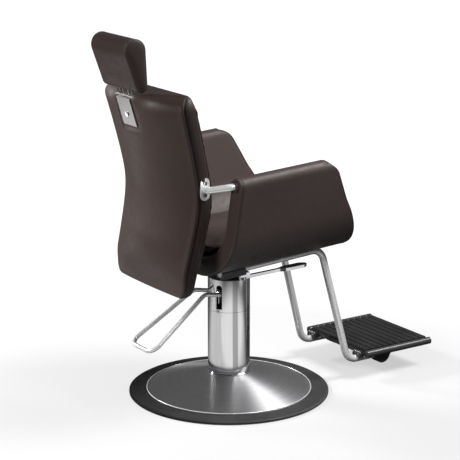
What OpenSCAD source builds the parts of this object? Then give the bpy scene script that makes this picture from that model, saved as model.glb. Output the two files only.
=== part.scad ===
// Threading chair: pump base, swivelling upholstered tub, tilting back,
// sliding headrest and a flip-up footplate on two bent tubes.
// Origin on the floor under the column, +Z up, the sitter faces -Y.

/* [Base and column] */
// Outer diameter of the rubber ring on the floor
base_d = 600; // [540:10:680]
// Width of the rubber ring that shows round the disc
ring_w = 52; // [40:1:60]
// Height of the column foot above the floor
foot_z = 64; // [56:1:76]
// Sheet thickness of the spun disc
disc_t = 3; // [2:0.5:4]
// Outer diameter of the column covers
column_d = 126; // [122:1:134]
// Wall of the column covers
column_t = 2.5; // [2:0.5:3]
// Height of the seam between lower and upper cover
seam_z = 262; // [256:1:266]
// Height of the top edge of the upper cover
column_top_z = 359; // [357:1:360]

/* [Pump and ram] */
// Diameter of the ram
ram_d = 34; // [30:1:36]
// Diameter of the pedal rod
pedal_rod_d = 13; // [11:0.5:14]
// Distance between the two pedal rods where they pass the slots
pedal_gap = 60; // [59:0.5:62]
// Distance between the two pedal rods at the foot bar
pedal_w = 124; // [100:2:160]
// Distance of the foot bar behind the column centre
pedal_y = 306; // [280:2:320]
// Height of the foot bar
pedal_z = 190; // [180:2:220]

/* [Tub and seat] */
// Pitch of the seat, front up
seat_pitch = 3.2; // [2.4:0.2:4]
// Height of the underside of the tub over the column centre
seat_z = 413; // [412:0.5:416]
// Overall width over the two arms
tub_w = 602; // [580:2:620]
// Height of the arm tops above the underside of the tub
arm_h = 317; // [300:1:340]
// Distance of the rear edge of the tub behind the column centre
tub_rear = 160; // [150:1:162]
// Distance of the front edge of the tub bottom before the column centre
tub_front = 345; // [330:1:360]
// Thickness of the padded arms
arm_t = 48; // [44:1:52]
// Thickness of the padded tub bottom
floor_t = 54; // [48:1:58]
// Height of the seat cushion at its sides
cushion_h = 36; // [32:1:44]

/* [Back and headrest] */
// Width of the back at its waist
back_w = 390; // [370:2:400]
// Height of the lower edge of the back
back_bottom_z = 370; // [366:1:376]
// Height of the upper edge of the back
back_top_z = 954; // [930:2:956]
// Thickness of the side band of the back
band_t = 54; // [50:1:58]
// Bulge of the rear face of the back in plan
rear_crown = 56; // [46:1:60]
// Thickness of the front pad of the back in its middle
pad_t = 30; // [24:1:34]
// Width of the headrest
head_w = 196; // [180:2:220]
// Thickness of the headrest at its top
head_top_t = 70; // [60:1:76]
// Thickness of the headrest at its bottom
head_bottom_t = 42; // [36:1:50]
// Height of the headrest along its slope
head_h = 152; // [140:1:160]
// Recline of the back from upright, degrees
recline = 10; // [6:1:12]

/* [Footrest] */
// Diameter of the footrest tubes
foot_tube_d = 22; // [20:0.5:22]
// Height of the tube centres under the footplate
foot_run_z = 60; // [56:1:64]
// Width of the footplate
plate_w = 318; // [306:2:330]
// Depth of the footplate
plate_depth = 250; // [230:5:270]

/* [Hidden] */

// Colours as the photograph shows them
leather = [0.29, 0.26, 0.25];
chrome = [0.82, 0.82, 0.83];
brushed = [0.62, 0.62, 0.63];
black = [0.12, 0.12, 0.12];
rubber = [0.24, 0.24, 0.24];

// Clearances and overruns
over = 1;
fit = 0.05;
gap = 0.3;

// Base
base_r = base_d / 2;
disc_r = base_r - ring_w;
ring_h = 12;
ring_lip = 12;
ring_lip_h = 4;
ring_chamfer = 2;
ring_shoulder = 5;
plate_t = 6;
plate_top_z = ring_lip_h + plate_t;
rim_h = 4;
rim_w = 6;
dome_foot_z = plate_top_z + 3;
dome_steps = 12;
dome_bulge_share = 0.25;
column_r = column_d / 2;
column_bore_r = column_r - column_t;
dome_land = 3;

// Column
collar_h = 16;
collar_flare = 1.5;
collar_land = 4;
collar_groove = 1.2;
column_foot_z = foot_z + collar_h;
slot_w = 16.5;
slot_bottom_z = 271;
slot_top_z = 344;
cap_t = 4;
cap_spigot_h = 8;
cap_bore_clear = 1.5;

// Pump
ram_r = ram_d / 2;
pump_wall = 5.5;
neck_r = ram_r + pump_wall;
tank_r = 48;
tank_top_z = 250;
flange_r = 58;
flange_t = 10;
neck_top_z = 338;
gland_t = 10;
ram_bottom_z = 74;
pump_floor_z = 64;
ear_x = 37.2;
ear_t = 6;
ear_half = 8;
axle_y = -30;
axle_z = 298;
axle_r = 5;
pedal_eye_r = 9;
pump_bolt_ring = 53;
pump_bolt_r = 3;
pump_bolt_head_r = 4.7;
pump_bolt_head_h = 4;
pump_bolt_count = 4;
plunger_r = 6;
plunger_y = 36;
plunger_bottom_z = 240;
plunger_hole_z = 212;

// Bent bars
bar_sides = 20;
bar_bend_steps = 6;

// Pedal
pedal_r = pedal_rod_d / 2;
pedal_bend_y = 105;
pedal_bend_z = 325;
pedal_bend_r = 28;
pedal_slope = (pedal_bend_z - axle_z) / (pedal_bend_y - axle_y);
pedal_bar_r = 5;
pedal_bar_z = axle_z + (plunger_y - axle_y) * pedal_slope;

// Ram head and hub
hub_r = 36;
hub_bottom_z = 366;
ram_top_z = 388;
hub_roof = 0.3;

// Tub section: flat bottom, round corners, flared sides
corner_r = 200;
arm_flare = 12;
tub_half = tub_w / 2;
arc_end_z = corner_r - corner_r * sin(arm_flare);
arc_end_x = tub_half - (arm_h - arc_end_z) * tan(arm_flare);
arc_x = arc_end_x - corner_r * cos(arm_flare);
front_slope = 0.6;
nose_slope = 0.48;
nose_turn_share = 0.62;
arm_nose_r = 25;
tub_edge_r = 10;
tub_bottom_steps = 4;
tub_arc_steps = 12;
tub_side_steps = 5;
tub_cap_steps = 4;
tub_ring_steps = 5;
arm_swell_share = 0.5;
arm_cap_share = 0.93;
edge_keep_share = 0.9;
end_keep_share = 0.85;

// Seat cushion
cushion_side_gap = 1.5;
cushion_rear = 142;
cushion_front = 330;
cushion_crown = 16;
cushion_draw = 4;
cushion_edge_r = 14;
cushion_rings = 22;
cushion_cols = 18;
cushion_side_steps = 5;

// Seat frame
frame_t = 8;
frame_half_w = 94;
frame_front = 110;
frame_rear = 60;
bar_front = 25;
socket_rear = 105;
socket_w = 36;
cheek_t = 7;
cheek_h = 4;
socket_wall = 4.4;
socket_drop = 1.5;
socket_side = 19;
block_half = 50;
tub_bolt_r = 4;
tub_bolt_head_r = 7;
tub_bolt_head_h = 5;
tub_bolt_depth = 14;
tub_bolt_x = 80;
tub_bolt_y = 80;

// Footrest tubes
foot_tube_r = foot_tube_d / 2;
plate_half_w = plate_w / 2;
plate_side = 42;
tube_lean = 9;
foot_x = plate_half_w - plate_side;
foot_top_x = foot_x - tube_lean;
tube_sink = 7;
tube_rise = corner_r - sqrt(corner_r * corner_r - pow(max(0, foot_top_x - arc_x), 2));
tube_off = tube_rise - foot_tube_r + tube_sink;
bar_t = foot_tube_r + socket_wall - tube_off - frame_t - gap;
bar_half_w = foot_top_x + socket_side;
foot_top_y = -258;
foot_knee_y = -358;
foot_end_y = -518;
foot_bend_r = 42;
plug_t = 3;

// Footplate
plate_rear_y = -408;
plate_bottom_z = foot_run_z + foot_tube_r + gap;
plate_web_t = 8;
plate_rim_r = 11;
plate_rim_drop = 5;
plate_mat_t = 9;
mat_base_t = 4;
mat_ribs = 10;
rib_share = 0.78;
mat_margin = 3;
hinge_y = -402;
hinge_z = 77.5;
hinge_pin_r = 3;
knuckle_r = 6;
knuckle_w = 20;
ear_w = 6;
clamp_bridge = 5;
clamp_lip = 2;
clamp_wall = 6;
clamp_ear_r = 6;
saddle_r = 28;
saddle_w = 30;
saddle_y = -486;
saddle_lip = 6;

// Control lever
lever_x = -98;
lever_y = 18;
lever_z = 375;
lever_t = 9;
lever_reach = 238;
lever_drift = 13;
lever_eye_r = 11;
lever_neck = 11;
lever_grip = 30;
lever_steps = 14;
lever_flare_start_share = 0.55;
lever_flare_share = 0.14;
lever_tip_share = 0.05;
lever_pin_r = 4;
lever_pin_head_r = 8;
lever_pin_head_h = 3;
bracket_w = 30;
bracket_depth = 34;
bracket_h = 30;

// Back outline
pivot_y = 213;
pivot_z = 688;
waist_y = 239;
waist_z = 650;
lean_up = 0.27;
lean_down = 0.245;
lean_soft = 60;
back_taper = 0.05;
back_top_corner = 42;
back_bottom_corner = 36;
back_edge_r = 16;
back_rings = 26;
back_rear_steps = 14;
back_front_steps = 6;
back_edge_steps = 4;
bottom_tuck = 16;
tuck_h = 90;
tuck_crown_share = 0.35;

// Front pad of the back
pad_bottom_z = 428;
pad_top_z = 934;
pad_inset = 12;
pad_edge_t = 9;
pad_end_steps = 4;
pad_cols = 12;
pad_edge_r = 30;

// Arm links and pivots
link_r = 10;
link_z = 702;
link_bend_r = 22;
link_depth = 34;
link_stub = 23;
link_lead = 17;
bush_r = 17;
bush_flange_t = 5;
bush_depth = 40;
bush_wall = 4;
bush_inset = 3;
flange_t_side = 4;
flange_half_w = 15;
flange_half_h = 17;
flange_hub_r = 13;
flange_hub_depth = 26;
flange_sink = 1.6;
screw_r = 3.5;
screw_head_r = 5.5;
screw_head_t = 2;
screw_depth = 14;

// Distance of the bush from the middle plane, inside the rear edge of the flared arm
link_rise = link_z - seat_z + tub_rear * tan(seat_pitch) - arc_end_z;
link_x = arc_end_x + link_rise * tan(arm_flare) - arm_t / 2 / cos(arm_flare) - bush_inset;

// Strut between seat frame and back
strut_y = 222;
strut_z = 385.5;
strut_mid_y = (strut_y - pivot_y) * cos(recline / 2) + (strut_z - pivot_z) * sin(recline / 2);
strut_mid_z = (strut_z - pivot_z) * cos(recline / 2) - (strut_y - pivot_y) * sin(recline / 2);
strut_slope = strut_mid_y / strut_mid_z;
strut_travel = 2 * norm([strut_mid_y, strut_mid_z]) * sin(recline / 2);
strut_r = 11;
strut_rod_r = 5;
strut_bore_r = strut_rod_r + fit;
strut_front_y = 72;
strut_tube_front = 80;
strut_tube_rear = 158;
strut_eye_r = 8;
strut_eye_w = 10;
strut_neck_r = 6.5;
strut_pin_r = 4;
strut_rod_front = strut_tube_front + strut_pin_r + strut_travel + over;
strut_pin_slack = 1.6;
strut_ear_t = 5;
strut_ear_h = 13;
strut_ear_gap = 0.5;
strut_plate_t = 4;
strut_plate_h = 44;

// Headrest posts and latch
post_r = 5;
post_x = 23;
post_y = 343;
post_z = 938;
head_lean = 17;
post_below = 92;
post_above = 60;
guide_r = 9;
guide_h = 14;
guide_stand = 5;
latch_w = 70;
latch_h = 84;
latch_t = 3;
latch_drop = 4;
latch_out = 15;
button_r = 7;
button_stand = 3;
button_depth = 12;
button_drop = 50;

// Headrest pad
head_y = 345;
head_z = 957.5;
head_pad_lean = 11.4;
head_corner_r = 20;
head_cols = 9;
head_rings = 22;

// Height lost to a quarter round of radius r at distance d from the edge
function round_in(d, r) = d >= r ? 0 : d <= 0 ? r : r - sqrt(r * r - (r - d) * (r - d));
function smooth(t) = t <= 0 ? 0 : t >= 1 ? 1 : t * t * (3 - 2 * t);
function unit(v) = v / norm(v);

// Skins a list of rings with equal point counts and closes both ends
module skin(rings) {
  n = len(rings[0]);
  m = len(rings);
  sides = [for (i = [0 : m - 2], j = [0 : n - 1]) each [
    [i * n + j, (i + 1) * n + j, i * n + (j + 1) % n],
    [i * n + (j + 1) % n, (i + 1) * n + j, (i + 1) * n + (j + 1) % n]]];
  ends = [for (j = [1 : n - 2]) each [
    [0, j, j + 1],
    [(m - 1) * n, (m - 1) * n + j + 1, (m - 1) * n + j]]];
  polyhedron(points = [for (r = rings) each r], faces = concat(sides, ends));
}

// A direction u across d0, turned with the bend that leads from d0 to d1
function turned(u, d0, d1) =
  let (
    side = unit(d1 - d0 * (d0 * d1)),
    axis = cross(d0, side),
    along = side * (d0 * d1) - d0 * (d1 * side))
  axis * (u * axis) + along * (u * side);

// That direction for each straight of a bent bar, carried through its bends
function carried(dirs, u, i = 0) =
  i == len(dirs) - 1 ? [u] : concat([u], carried(dirs, turned(u, dirs[i], dirs[i + 1]), i + 1));

// A ring of points of radius r about c, across direction d, from direction u on
function ring_across(c, u, d, r) =
  let (v = cross(d, u))
  [for (k = [0 : bar_sides - 1])
    let (a = 360 * k / bar_sides)
    c + u * r * cos(a) + v * r * sin(a)];

// The rings of a round bar along a list of corners, each bend in even steps
function bar_rings(corners, r, bend) =
  let (
    last = len(corners) - 1,
    dirs = [for (i = [0 : last - 1]) unit(corners[i + 1] - corners[i])],
    aside = abs(dirs[0][0]) < 0.9 ? [1, 0, 0] : [0, 0, 1],
    across = carried(dirs, unit(cross(dirs[0], aside))))
  concat(
    [ring_across(corners[0], across[0], dirs[0], r)],
    [for (i = [1 : 1 : last - 1]) each bend_rings(corners[i], dirs[i - 1], dirs[i], across[i - 1], r, bend)],
    [ring_across(corners[last], across[last - 1], dirs[last - 1], r)]);

// The rings of one bend about the corner p
function bend_rings(p, d0, d1, u, r, bend) =
  let (
    turn = acos(d0 * d1),
    side = unit(d1 - d0 * (d0 * d1)),
    axis = cross(d0, side),
    centre = p - d0 * bend * tan(turn / 2) + side * bend)
  [for (k = [0 : bar_bend_steps])
    let (
      a = turn * k / bar_bend_steps,
      inward = side * cos(a) - d0 * sin(a))
    ring_across(centre - inward * bend, axis * (u * axis) + inward * (u * side),
      d0 * cos(a) + side * sin(a), r)];

// Places children in the pitched frame of the tub, origin at its underside
module pitched() {
  translate([0, 0, seat_z])
    rotate([-seat_pitch, 0, 0])
      children();
}

// A round bar along X centred at x = 0
module cross_bar(y, z, r, w) {
  translate([-w / 2, y, z])
    rotate([0, 90, 0])
      cylinder(r = r, h = w);
}

module base_ring() {
  color(rubber)
    rotate_extrude()
      polygon([
        [disc_r - ring_lip, 0],
        [base_r - ring_chamfer, 0],
        [base_r, ring_chamfer],
        [base_r, ring_h - ring_shoulder],
        [base_r - ring_shoulder, ring_h - ring_chamfer],
        [disc_r + ring_shoulder, ring_h],
        [disc_r, ring_h],
        [disc_r, ring_lip_h],
        [disc_r - ring_lip, ring_lip_h]]);
}

module base_plate() {
  color(brushed)
    difference() {
      translate([0, 0, ring_lip_h])
        cylinder(r = disc_r - fit, h = plate_t);
      pump_bolt_holes(ring_lip_h);
    }
}

module pump_bolt_holes(z) {
  for (i = [0 : pump_bolt_count - 1]) {
    rotate([0, 0, (i + 0.5) * 360 / pump_bolt_count])
      translate([pump_bolt_ring, 0, z - over])
        cylinder(r = pump_bolt_r, h = plate_t + flange_t + 2 * over);
  }
}

// Outline of the dome from its rim to the column foot
dome_start_r = disc_r - rim_w;
dome_end_r = column_r + dome_land;
dome = [for (i = [0 : dome_steps])
  let (s = i / dome_steps)
  [dome_start_r + (dome_end_r - dome_start_r) * s,
   dome_foot_z + (foot_z - dome_foot_z) * s * (1 + dome_bulge_share * (1 - s))]];

module base_disc() {
  color(brushed)
    rotate_extrude()
      polygon(concat(
        [[disc_r - fit, plate_top_z],
         [disc_r - fit, plate_top_z + rim_h],
         [disc_r - rim_w / 4, plate_top_z + rim_h + ring_chamfer / 2],
         [disc_r - rim_w / 2, plate_top_z + rim_h]],
        dome,
        [[column_bore_r, foot_z],
         [column_bore_r, foot_z - disc_t]],
        [for (i = [dome_steps : -1 : 0]) dome[i] - [0, disc_t]],
        [[dome_start_r, plate_top_z]]));
}

module foot_collar() {
  z1 = foot_z + collar_land;
  z2 = foot_z + collar_h - collar_land;
  color(chrome)
    rotate_extrude()
      polygon([
        [column_bore_r, foot_z],
        [column_r + collar_flare, foot_z],
        [column_r + collar_flare, z1],
        [column_r, z1 + collar_flare],
        [column_r - collar_groove, z1 + 2 * collar_groove],
        [column_r - collar_groove, z2 - collar_groove],
        [column_r, z2],
        [column_r, column_foot_z],
        [column_bore_r, column_foot_z]]);
}

module column_tube() {
  color(chrome)
    difference() {
      translate([0, 0, column_foot_z])
        cylinder(r = column_r, h = seam_z - column_foot_z);
      translate([0, 0, column_foot_z - over])
        cylinder(r = column_bore_r, h = seam_z - column_foot_z + 2 * over);
    }
}

module column_sleeve() {
  slot_r = slot_w / 2;
  color(chrome)
    difference() {
      translate([0, 0, seam_z])
        cylinder(r = column_r, h = column_top_z - seam_z);
      translate([0, 0, seam_z - over])
        cylinder(r = column_bore_r, h = column_top_z - seam_z + 2 * over);
      for (side = [-1, 1]) {
        translate([side * pedal_gap / 2 - slot_r, 0, slot_bottom_z])
          cube([slot_w, column_r + over, slot_top_z - slot_r - slot_bottom_z]);
        translate([side * pedal_gap / 2, 0, slot_top_z - slot_r])
          rotate([-90, 0, 0])
            cylinder(r = slot_r, h = column_r + over);
      }
    }
}

module column_cap() {
  cap_bore_r = neck_r + cap_bore_clear;
  color(black)
    difference() {
      union() {
        translate([0, 0, column_top_z])
          cylinder(r = column_r, h = cap_t);
        translate([0, 0, column_top_z - cap_spigot_h])
          cylinder(r = column_bore_r - fit, h = cap_spigot_h);
      }
      translate([0, 0, column_top_z - cap_spigot_h - over])
        cylinder(r = cap_bore_r, h = cap_spigot_h + cap_t + 2 * over);
    }
}

module pump_body() {
  color(brushed)
    difference() {
      union() {
        translate([0, 0, plate_top_z])
          cylinder(r = flange_r, h = flange_t);
        translate([0, 0, plate_top_z])
          cylinder(r = tank_r, h = tank_top_z - plate_top_z);
        translate([0, 0, plate_top_z])
          cylinder(r = neck_r, h = neck_top_z - plate_top_z);
        for (x = [-ear_x - ear_t, ear_x]) {
          translate([x, axle_y - ear_half, tank_top_z - over])
            cube([ear_t, 2 * ear_half, axle_z - tank_top_z + over]);
          translate([x, axle_y, axle_z])
            rotate([0, 90, 0])
              cylinder(r = ear_half, h = ear_t);
        }
      }
      translate([0, 0, pump_floor_z])
        cylinder(r = ram_r + fit, h = neck_top_z - pump_floor_z + over);
      translate([0, plunger_y, plunger_hole_z])
        cylinder(r = plunger_r + fit, h = tank_top_z - plunger_hole_z + over);
      cross_bar(axle_y, axle_z, axle_r + fit, 2 * (ear_x + ear_t + over));
      pump_bolt_holes(plate_top_z);
    }
}

module pump_gland() {
  color(black)
    translate([0, 0, neck_top_z])
      difference() {
        cylinder(r = neck_r, h = gland_t);
        translate([0, 0, -over])
          cylinder(r = ram_r + fit, h = gland_t + 2 * over);
      }
}

module pump_bolts() {
  color(black)
    for (i = [0 : pump_bolt_count - 1]) {
      rotate([0, 0, (i + 0.5) * 360 / pump_bolt_count])
        translate([pump_bolt_ring, 0, ring_lip_h]) {
          cylinder(r = pump_bolt_r - fit, h = plate_t + flange_t);
          translate([0, 0, plate_t + flange_t])
            cylinder(r = pump_bolt_head_r, h = pump_bolt_head_h, $fn = 6);
        }
    }
}

module pedal_axle() {
  color(brushed)
    cross_bar(axle_y, axle_z, axle_r, 2 * (ear_x + ear_t));
}

module pump_pedal() {
  half_gap = pedal_gap / 2;
  half_w = pedal_w / 2;
  route = [
    [half_gap, axle_y, axle_z],
    [half_gap, pedal_bend_y, pedal_bend_z],
    [half_w, pedal_y, pedal_z],
    [-half_w, pedal_y, pedal_z],
    [-half_gap, pedal_bend_y, pedal_bend_z],
    [-half_gap, axle_y, axle_z]];
  color(chrome)
    difference() {
      union() {
        skin(bar_rings(route, pedal_r, pedal_bend_r));
        cross_bar(plunger_y, pedal_bar_z, pedal_bar_r, pedal_gap);
        for (side = [-1, 1]) {
          translate([side * half_gap - pedal_r, axle_y, axle_z])
            rotate([0, 90, 0])
              cylinder(r = pedal_eye_r, h = 2 * pedal_r);
        }
      }
      cross_bar(axle_y, axle_z, axle_r + fit, pedal_gap + 4 * pedal_r);
    }
}

module pump_plunger() {
  color(chrome)
    translate([0, plunger_y, plunger_bottom_z])
      cylinder(r = plunger_r, h = pedal_bar_z - pedal_bar_r - gap - plunger_bottom_z);
}

module ram() {
  color(chrome)
    translate([0, 0, ram_bottom_z])
      cylinder(r = ram_r, h = ram_top_z - ram_bottom_z);
}

module swivel_hub() {
  color(black)
    difference() {
      translate([0, 0, hub_bottom_z])
        cylinder(r = hub_r, h = seat_z - hub_bottom_z);
      translate([0, 0, hub_bottom_z - over])
        cylinder(r = ram_r + fit, h = ram_top_z + hub_roof - hub_bottom_z + over);
      pitched()
        translate([-2 * hub_r, -2 * hub_r, -frame_t - bar_t - gap])
          cube([4 * hub_r, 4 * hub_r, 2 * hub_r]);
    }
}

module seat_frame() {
  floor_z = -frame_t - bar_t - gap;
  color(black)
    pitched()
      difference() {
        union() {
          translate([-frame_half_w, -frame_front, -frame_t - gap])
            cube([2 * frame_half_w, frame_front + frame_rear, frame_t]);
          translate([-bar_half_w, bar_front, floor_z])
            cube([2 * bar_half_w, frame_rear - bar_front, bar_t]);
          translate([-block_half, -block_half, floor_z])
            cube([2 * block_half, block_half + bar_front + over, bar_t]);
          for (side = [-1, 1]) {
            tube_socket(side, floor_z);
            strut_ear(side);
          }
        }
        for (side = [-1, 1]) {
          translate([side * foot_top_x, bar_front - over, tube_off])
            rotate([-90, 0, 0])
              cylinder(r = foot_tube_r, h = socket_rear - bar_front + 2 * over);
        }
        strut_front_bore();
        for (x = [-tub_bolt_x, tub_bolt_x], y = [-tub_bolt_y, 0]) {
          translate([x, y, -frame_t - gap - over])
            cylinder(r = tub_bolt_r + fit, h = frame_t + 2 * over);
        }
      }
}

// One end block of the frame with its outer cheek beside the tube
module tube_socket(side, floor_z) {
  x0 = side > 0 ? bar_half_w - socket_w : -bar_half_w;
  xc = side > 0 ? bar_half_w - cheek_t : -bar_half_w;
  translate([x0, bar_front, floor_z])
    cube([socket_w, socket_rear - bar_front, tube_off - socket_drop - floor_z]);
  translate([xc, bar_front, floor_z])
    cube([cheek_t, socket_rear - bar_front, tube_off + cheek_h - floor_z]);
}

// Height of the strut axis over the floor at distance y
function strut_at(y) = strut_z + (strut_y - y) * strut_slope;

// One ear behind the frame that holds the front eye of the strut
module strut_ear(side) {
  x0 = side > 0 ? strut_eye_w / 2 + strut_ear_gap : -strut_eye_w / 2 - strut_ear_gap - strut_ear_t;
  y0 = hub_r + over;
  translate([x0, y0, -frame_t - gap - strut_ear_h])
    cube([strut_ear_t, strut_front_y + strut_pin_r + 2 * over - y0, strut_ear_h]);
}

module strut_front_bore() {
  rotate([seat_pitch, 0, 0])
    translate([0, 0, -seat_z])
      cross_bar(strut_front_y, strut_at(strut_front_y), strut_pin_r + fit, 2 * block_half);
}

module frame_bolts() {
  color(black)
    pitched()
      for (x = [-tub_bolt_x, tub_bolt_x], y = [-tub_bolt_y, 0]) {
        translate([x, y, -frame_t - gap - tub_bolt_head_h])
          cylinder(r = tub_bolt_head_r, h = tub_bolt_head_h, $fn = 6);
        translate([x, y, -frame_t - gap])
          cylinder(r = tub_bolt_r, h = frame_t + tub_bolt_depth);
      }
}

// Stations along the outer line of the tub section from its centre to the right arm top:
// each is [x, z, angle of the outward normal below horizontal]
function tub_arc_x(a) = arc_x + corner_r * cos(a);
function tub_arc_z(a) = corner_r - corner_r * sin(a);
tub_right = concat(
  [for (i = [0 : tub_bottom_steps - 1]) [arc_x * i / tub_bottom_steps, 0, 90]],
  [for (i = [0 : tub_arc_steps])
    let (a = 90 - (90 - arm_flare) * i / tub_arc_steps) [tub_arc_x(a), tub_arc_z(a), a]],
  [for (i = [1 : tub_side_steps])
    let (s = i / tub_side_steps, h = arm_h - arm_t / 2 - arc_end_z)
    [arc_end_x + h * s * tan(arm_flare), arc_end_z + h * s, arm_flare]]);

// Wall thickness at a station, thin under the seat and full in the arms
function tub_wall(z) = floor_t + (arm_t - floor_t) * smooth(z / (arm_h * arm_swell_share));

// Front edge of the tub at height z above its underside
function tub_nose(z) =
  -tub_front + front_slope * z - (front_slope - nose_slope) * max(0, z - nose_turn_share * arm_h);

// Nose of the arm: the sloping front edge runs into the arm top in a round corner
function arm_front(z, top) = tub_nose(z) + round_in(top - z, arm_nose_r);

// A rounded ring across the wall at one station; lift and narrow shape the arm top
function tub_ring(st, side, lift, narrow) =
  let (
    wall = tub_wall(st[1]),
    half = wall / 2 * narrow,
    nx = cos(st[2]),
    nz = -sin(st[2]),
    cx = st[0] - nx * wall / 2 + (st[2] == arm_flare ? lift * sin(arm_flare) : 0),
    cz = st[1] - nz * wall / 2 + (st[2] == arm_flare ? lift * cos(arm_flare) : 0),
    y1 = tub_rear,
    y0 = arm_front(min(cz, arm_h), arm_h + over),
    r = min(half, tub_edge_r),
    k = tub_ring_steps)
  [for (q = [0 : 3], i = [0 : k])
    let (
      a = q * 90 + 90 * i / k,
      ey = (q == 0 || q == 3 ? y1 - r : y0 + r) + r * cos(a),
      en = (q < 2 ? half - r : r - half) + r * sin(a),
      x = cx + nx * en,
      z = cz + nz * en)
    [side * x, ey, seat_z + z - tan(seat_pitch) * ey]];

module tub_shell() {
  n = len(tub_right);
  top = tub_right[n - 1];
  cap = [for (i = [1 : tub_cap_steps]) 90 * i / tub_cap_steps * arm_cap_share];
  rings = concat(
    [for (i = [tub_cap_steps - 1 : -1 : 0]) tub_ring(top, -1, arm_t / 2 * sin(cap[i]), cos(cap[i]))],
    [for (i = [n - 1 : -1 : 1]) tub_ring(tub_right[i], -1, 0, 1)],
    [for (i = [0 : n - 1]) tub_ring(tub_right[i], 1, 0, 1)],
    [for (i = [0 : tub_cap_steps - 1])
      tub_ring(top, 1, arm_t / 2 * sin(cap[i]), cos(cap[i]))]);
  color(leather)
    difference() {
      skin([for (i = [len(rings) - 1 : -1 : 0]) rings[i]]);
      for (side = [-1, 1]) {
        bush_bore(side, bush_r - bush_wall / 2, bush_depth);
      }
      pitched()
        for (x = [-tub_bolt_x, tub_bolt_x], y = [-tub_bolt_y, 0]) {
          translate([x, y, -over])
            cylinder(r = tub_bolt_r + fit, h = tub_bolt_depth + over);
        }
      tube_groove(-1);
      tube_groove(1);
    }
}

// Groove under the tub that takes the upper run of one footrest tube
module tube_groove(side) {
  front = foot_top_y - foot_tube_r;
  pitched()
    translate([side * foot_top_x, front, tube_off])
      rotate([-90, 0, 0])
        cylinder(r = foot_tube_r + gap, h = socket_rear + gap - front);
}

module bush_bore(side, r, depth) {
  translate([side * link_x, tub_rear - depth, link_z])
    rotate([-90, 0, 0])
      cylinder(r = r, h = depth + over);
}

// Point of the tub's inner face at station angle a, moved inward by d
function tub_inside(a, d) =
  let (t = tub_wall(tub_arc_z(a)) + d)
  [tub_arc_x(a) - t * cos(a), tub_arc_z(a) + t * sin(a)];

module seat_cushion() {
  top = floor_t + gap + cushion_h;
  rings = [for (i = [0 : cushion_rings])
    let (
      s = i / cushion_rings,
      t = (1 - cos(180 * s)) / 2,
      y = -cushion_front + (cushion_front + cushion_rear) * t,
      d = min(y + cushion_front, cushion_rear - y),
      e = min(round_in(d, cushion_edge_r), cushion_edge_r * edge_keep_share),
      crown = cushion_crown * smooth(d / cushion_rear))
    cushion_ring(y, e, crown, top)];
  color(leather)
    skin(rings);
}

// One cross-section of the seat cushion: rounded under like the tub, drawn-in sides, crowned top
function cushion_ring(y, e, crown, top) =
  let (
    k = cushion_side_steps,
    z = seat_z - tan(seat_pitch) * y,
    high = top - e,
    turn = acos((corner_r - high) / (corner_r - floor_t - cushion_side_gap - e)),
    flank = [for (i = [0 : k])
      tub_inside(90 - turn * i / k, cushion_side_gap + e + cushion_draw * sin(180 * i / k))],
    w = flank[k][0])
  concat(
    [for (i = [0 : k - 1]) [-flank[i][0], y, z + flank[i][1]]],
    [for (i = [0 : cushion_cols])
      let (u = -1 + 2 * i / cushion_cols)
      [w * u, y, z + high + crown * (1 - abs(u * u * u))]],
    [for (i = [k - 1 : -1 : 0]) [flank[i][0], y, z + flank[i][1]]]);

module arm_bush(side) {
  color(black)
    difference() {
      union() {
        translate([side * link_x, tub_rear, link_z])
          rotate([-90, 0, 0])
            cylinder(r = bush_r, h = bush_flange_t);
        bush_body(side);
      }
      translate([side * link_x, tub_rear - bush_depth - over, link_z])
        rotate([-90, 0, 0])
          cylinder(r = link_r, h = bush_depth + bush_flange_t + 2 * over);
    }
}

module bush_body(side) {
  translate([side * link_x, tub_rear - bush_depth, link_z])
    rotate([-90, 0, 0])
      cylinder(r = bush_r - bush_wall / 2, h = bush_depth);
}

module arm_bush_left() {
  arm_bush(-1);
}

module arm_bush_right() {
  arm_bush(1);
}

// Half-width of the back at height z
function back_half(z) = back_w / 2 + (z - waist_z) * back_taper;

// Rear border of the back seen from the side
function back_line(z) =
  waist_y + (z > waist_z ? lean_up : lean_down)
  * (sqrt(pow(z - waist_z, 2) + lean_soft * lean_soft) - lean_soft);

// Side face of the back at the pivot height, where the flanges seat
seat_face_x = back_half(pivot_z) - flange_sink;

module arm_link(side) {
  route = [
    [side * seat_face_x, pivot_y, pivot_z],
    [side * (seat_face_x + link_stub), pivot_y, pivot_z],
    [side * link_x, tub_rear + link_lead, link_z],
    [side * link_x, tub_rear, link_z]];
  color(chrome) {
    translate([side * (seat_face_x - flange_hub_depth + 4 * gap), pivot_y, pivot_z])
      rotate([0, side * 90, 0])
        cylinder(r = link_r, h = flange_hub_depth - 4 * gap + link_stub / 2);
    skin(bar_rings(route, link_r - fit, link_bend_r));
    translate([side * link_x, tub_rear - link_depth, link_z])
      rotate([-90, 0, 0])
        cylinder(r = link_r, h = link_depth + bush_flange_t);
  }
}

module arm_link_left() {
  arm_link(-1);
}

module arm_link_right() {
  arm_link(1);
}

module footrest_tube(side) {
  upper_z = seat_z + tube_off;
  fall = tan(seat_pitch);
  route = [
    [side * foot_top_x, socket_rear, upper_z - socket_rear * fall],
    [side * foot_top_x, foot_top_y, upper_z - foot_top_y * fall],
    [side * foot_x, foot_knee_y, foot_run_z],
    [side * foot_x, foot_end_y, foot_run_z]];
  color(chrome)
    skin(bar_rings(route, foot_tube_r, foot_bend_r));
}

module footrest_tube_left() {
  footrest_tube(-1);
}

module footrest_tube_right() {
  footrest_tube(1);
}

module tube_plugs() {
  color(black)
    for (side = [-1, 1]) {
      translate([side * foot_x, foot_end_y - plug_t, foot_run_z])
        rotate([-90, 0, 0])
          cylinder(r = foot_tube_r, h = plug_t);
    }
}

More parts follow.
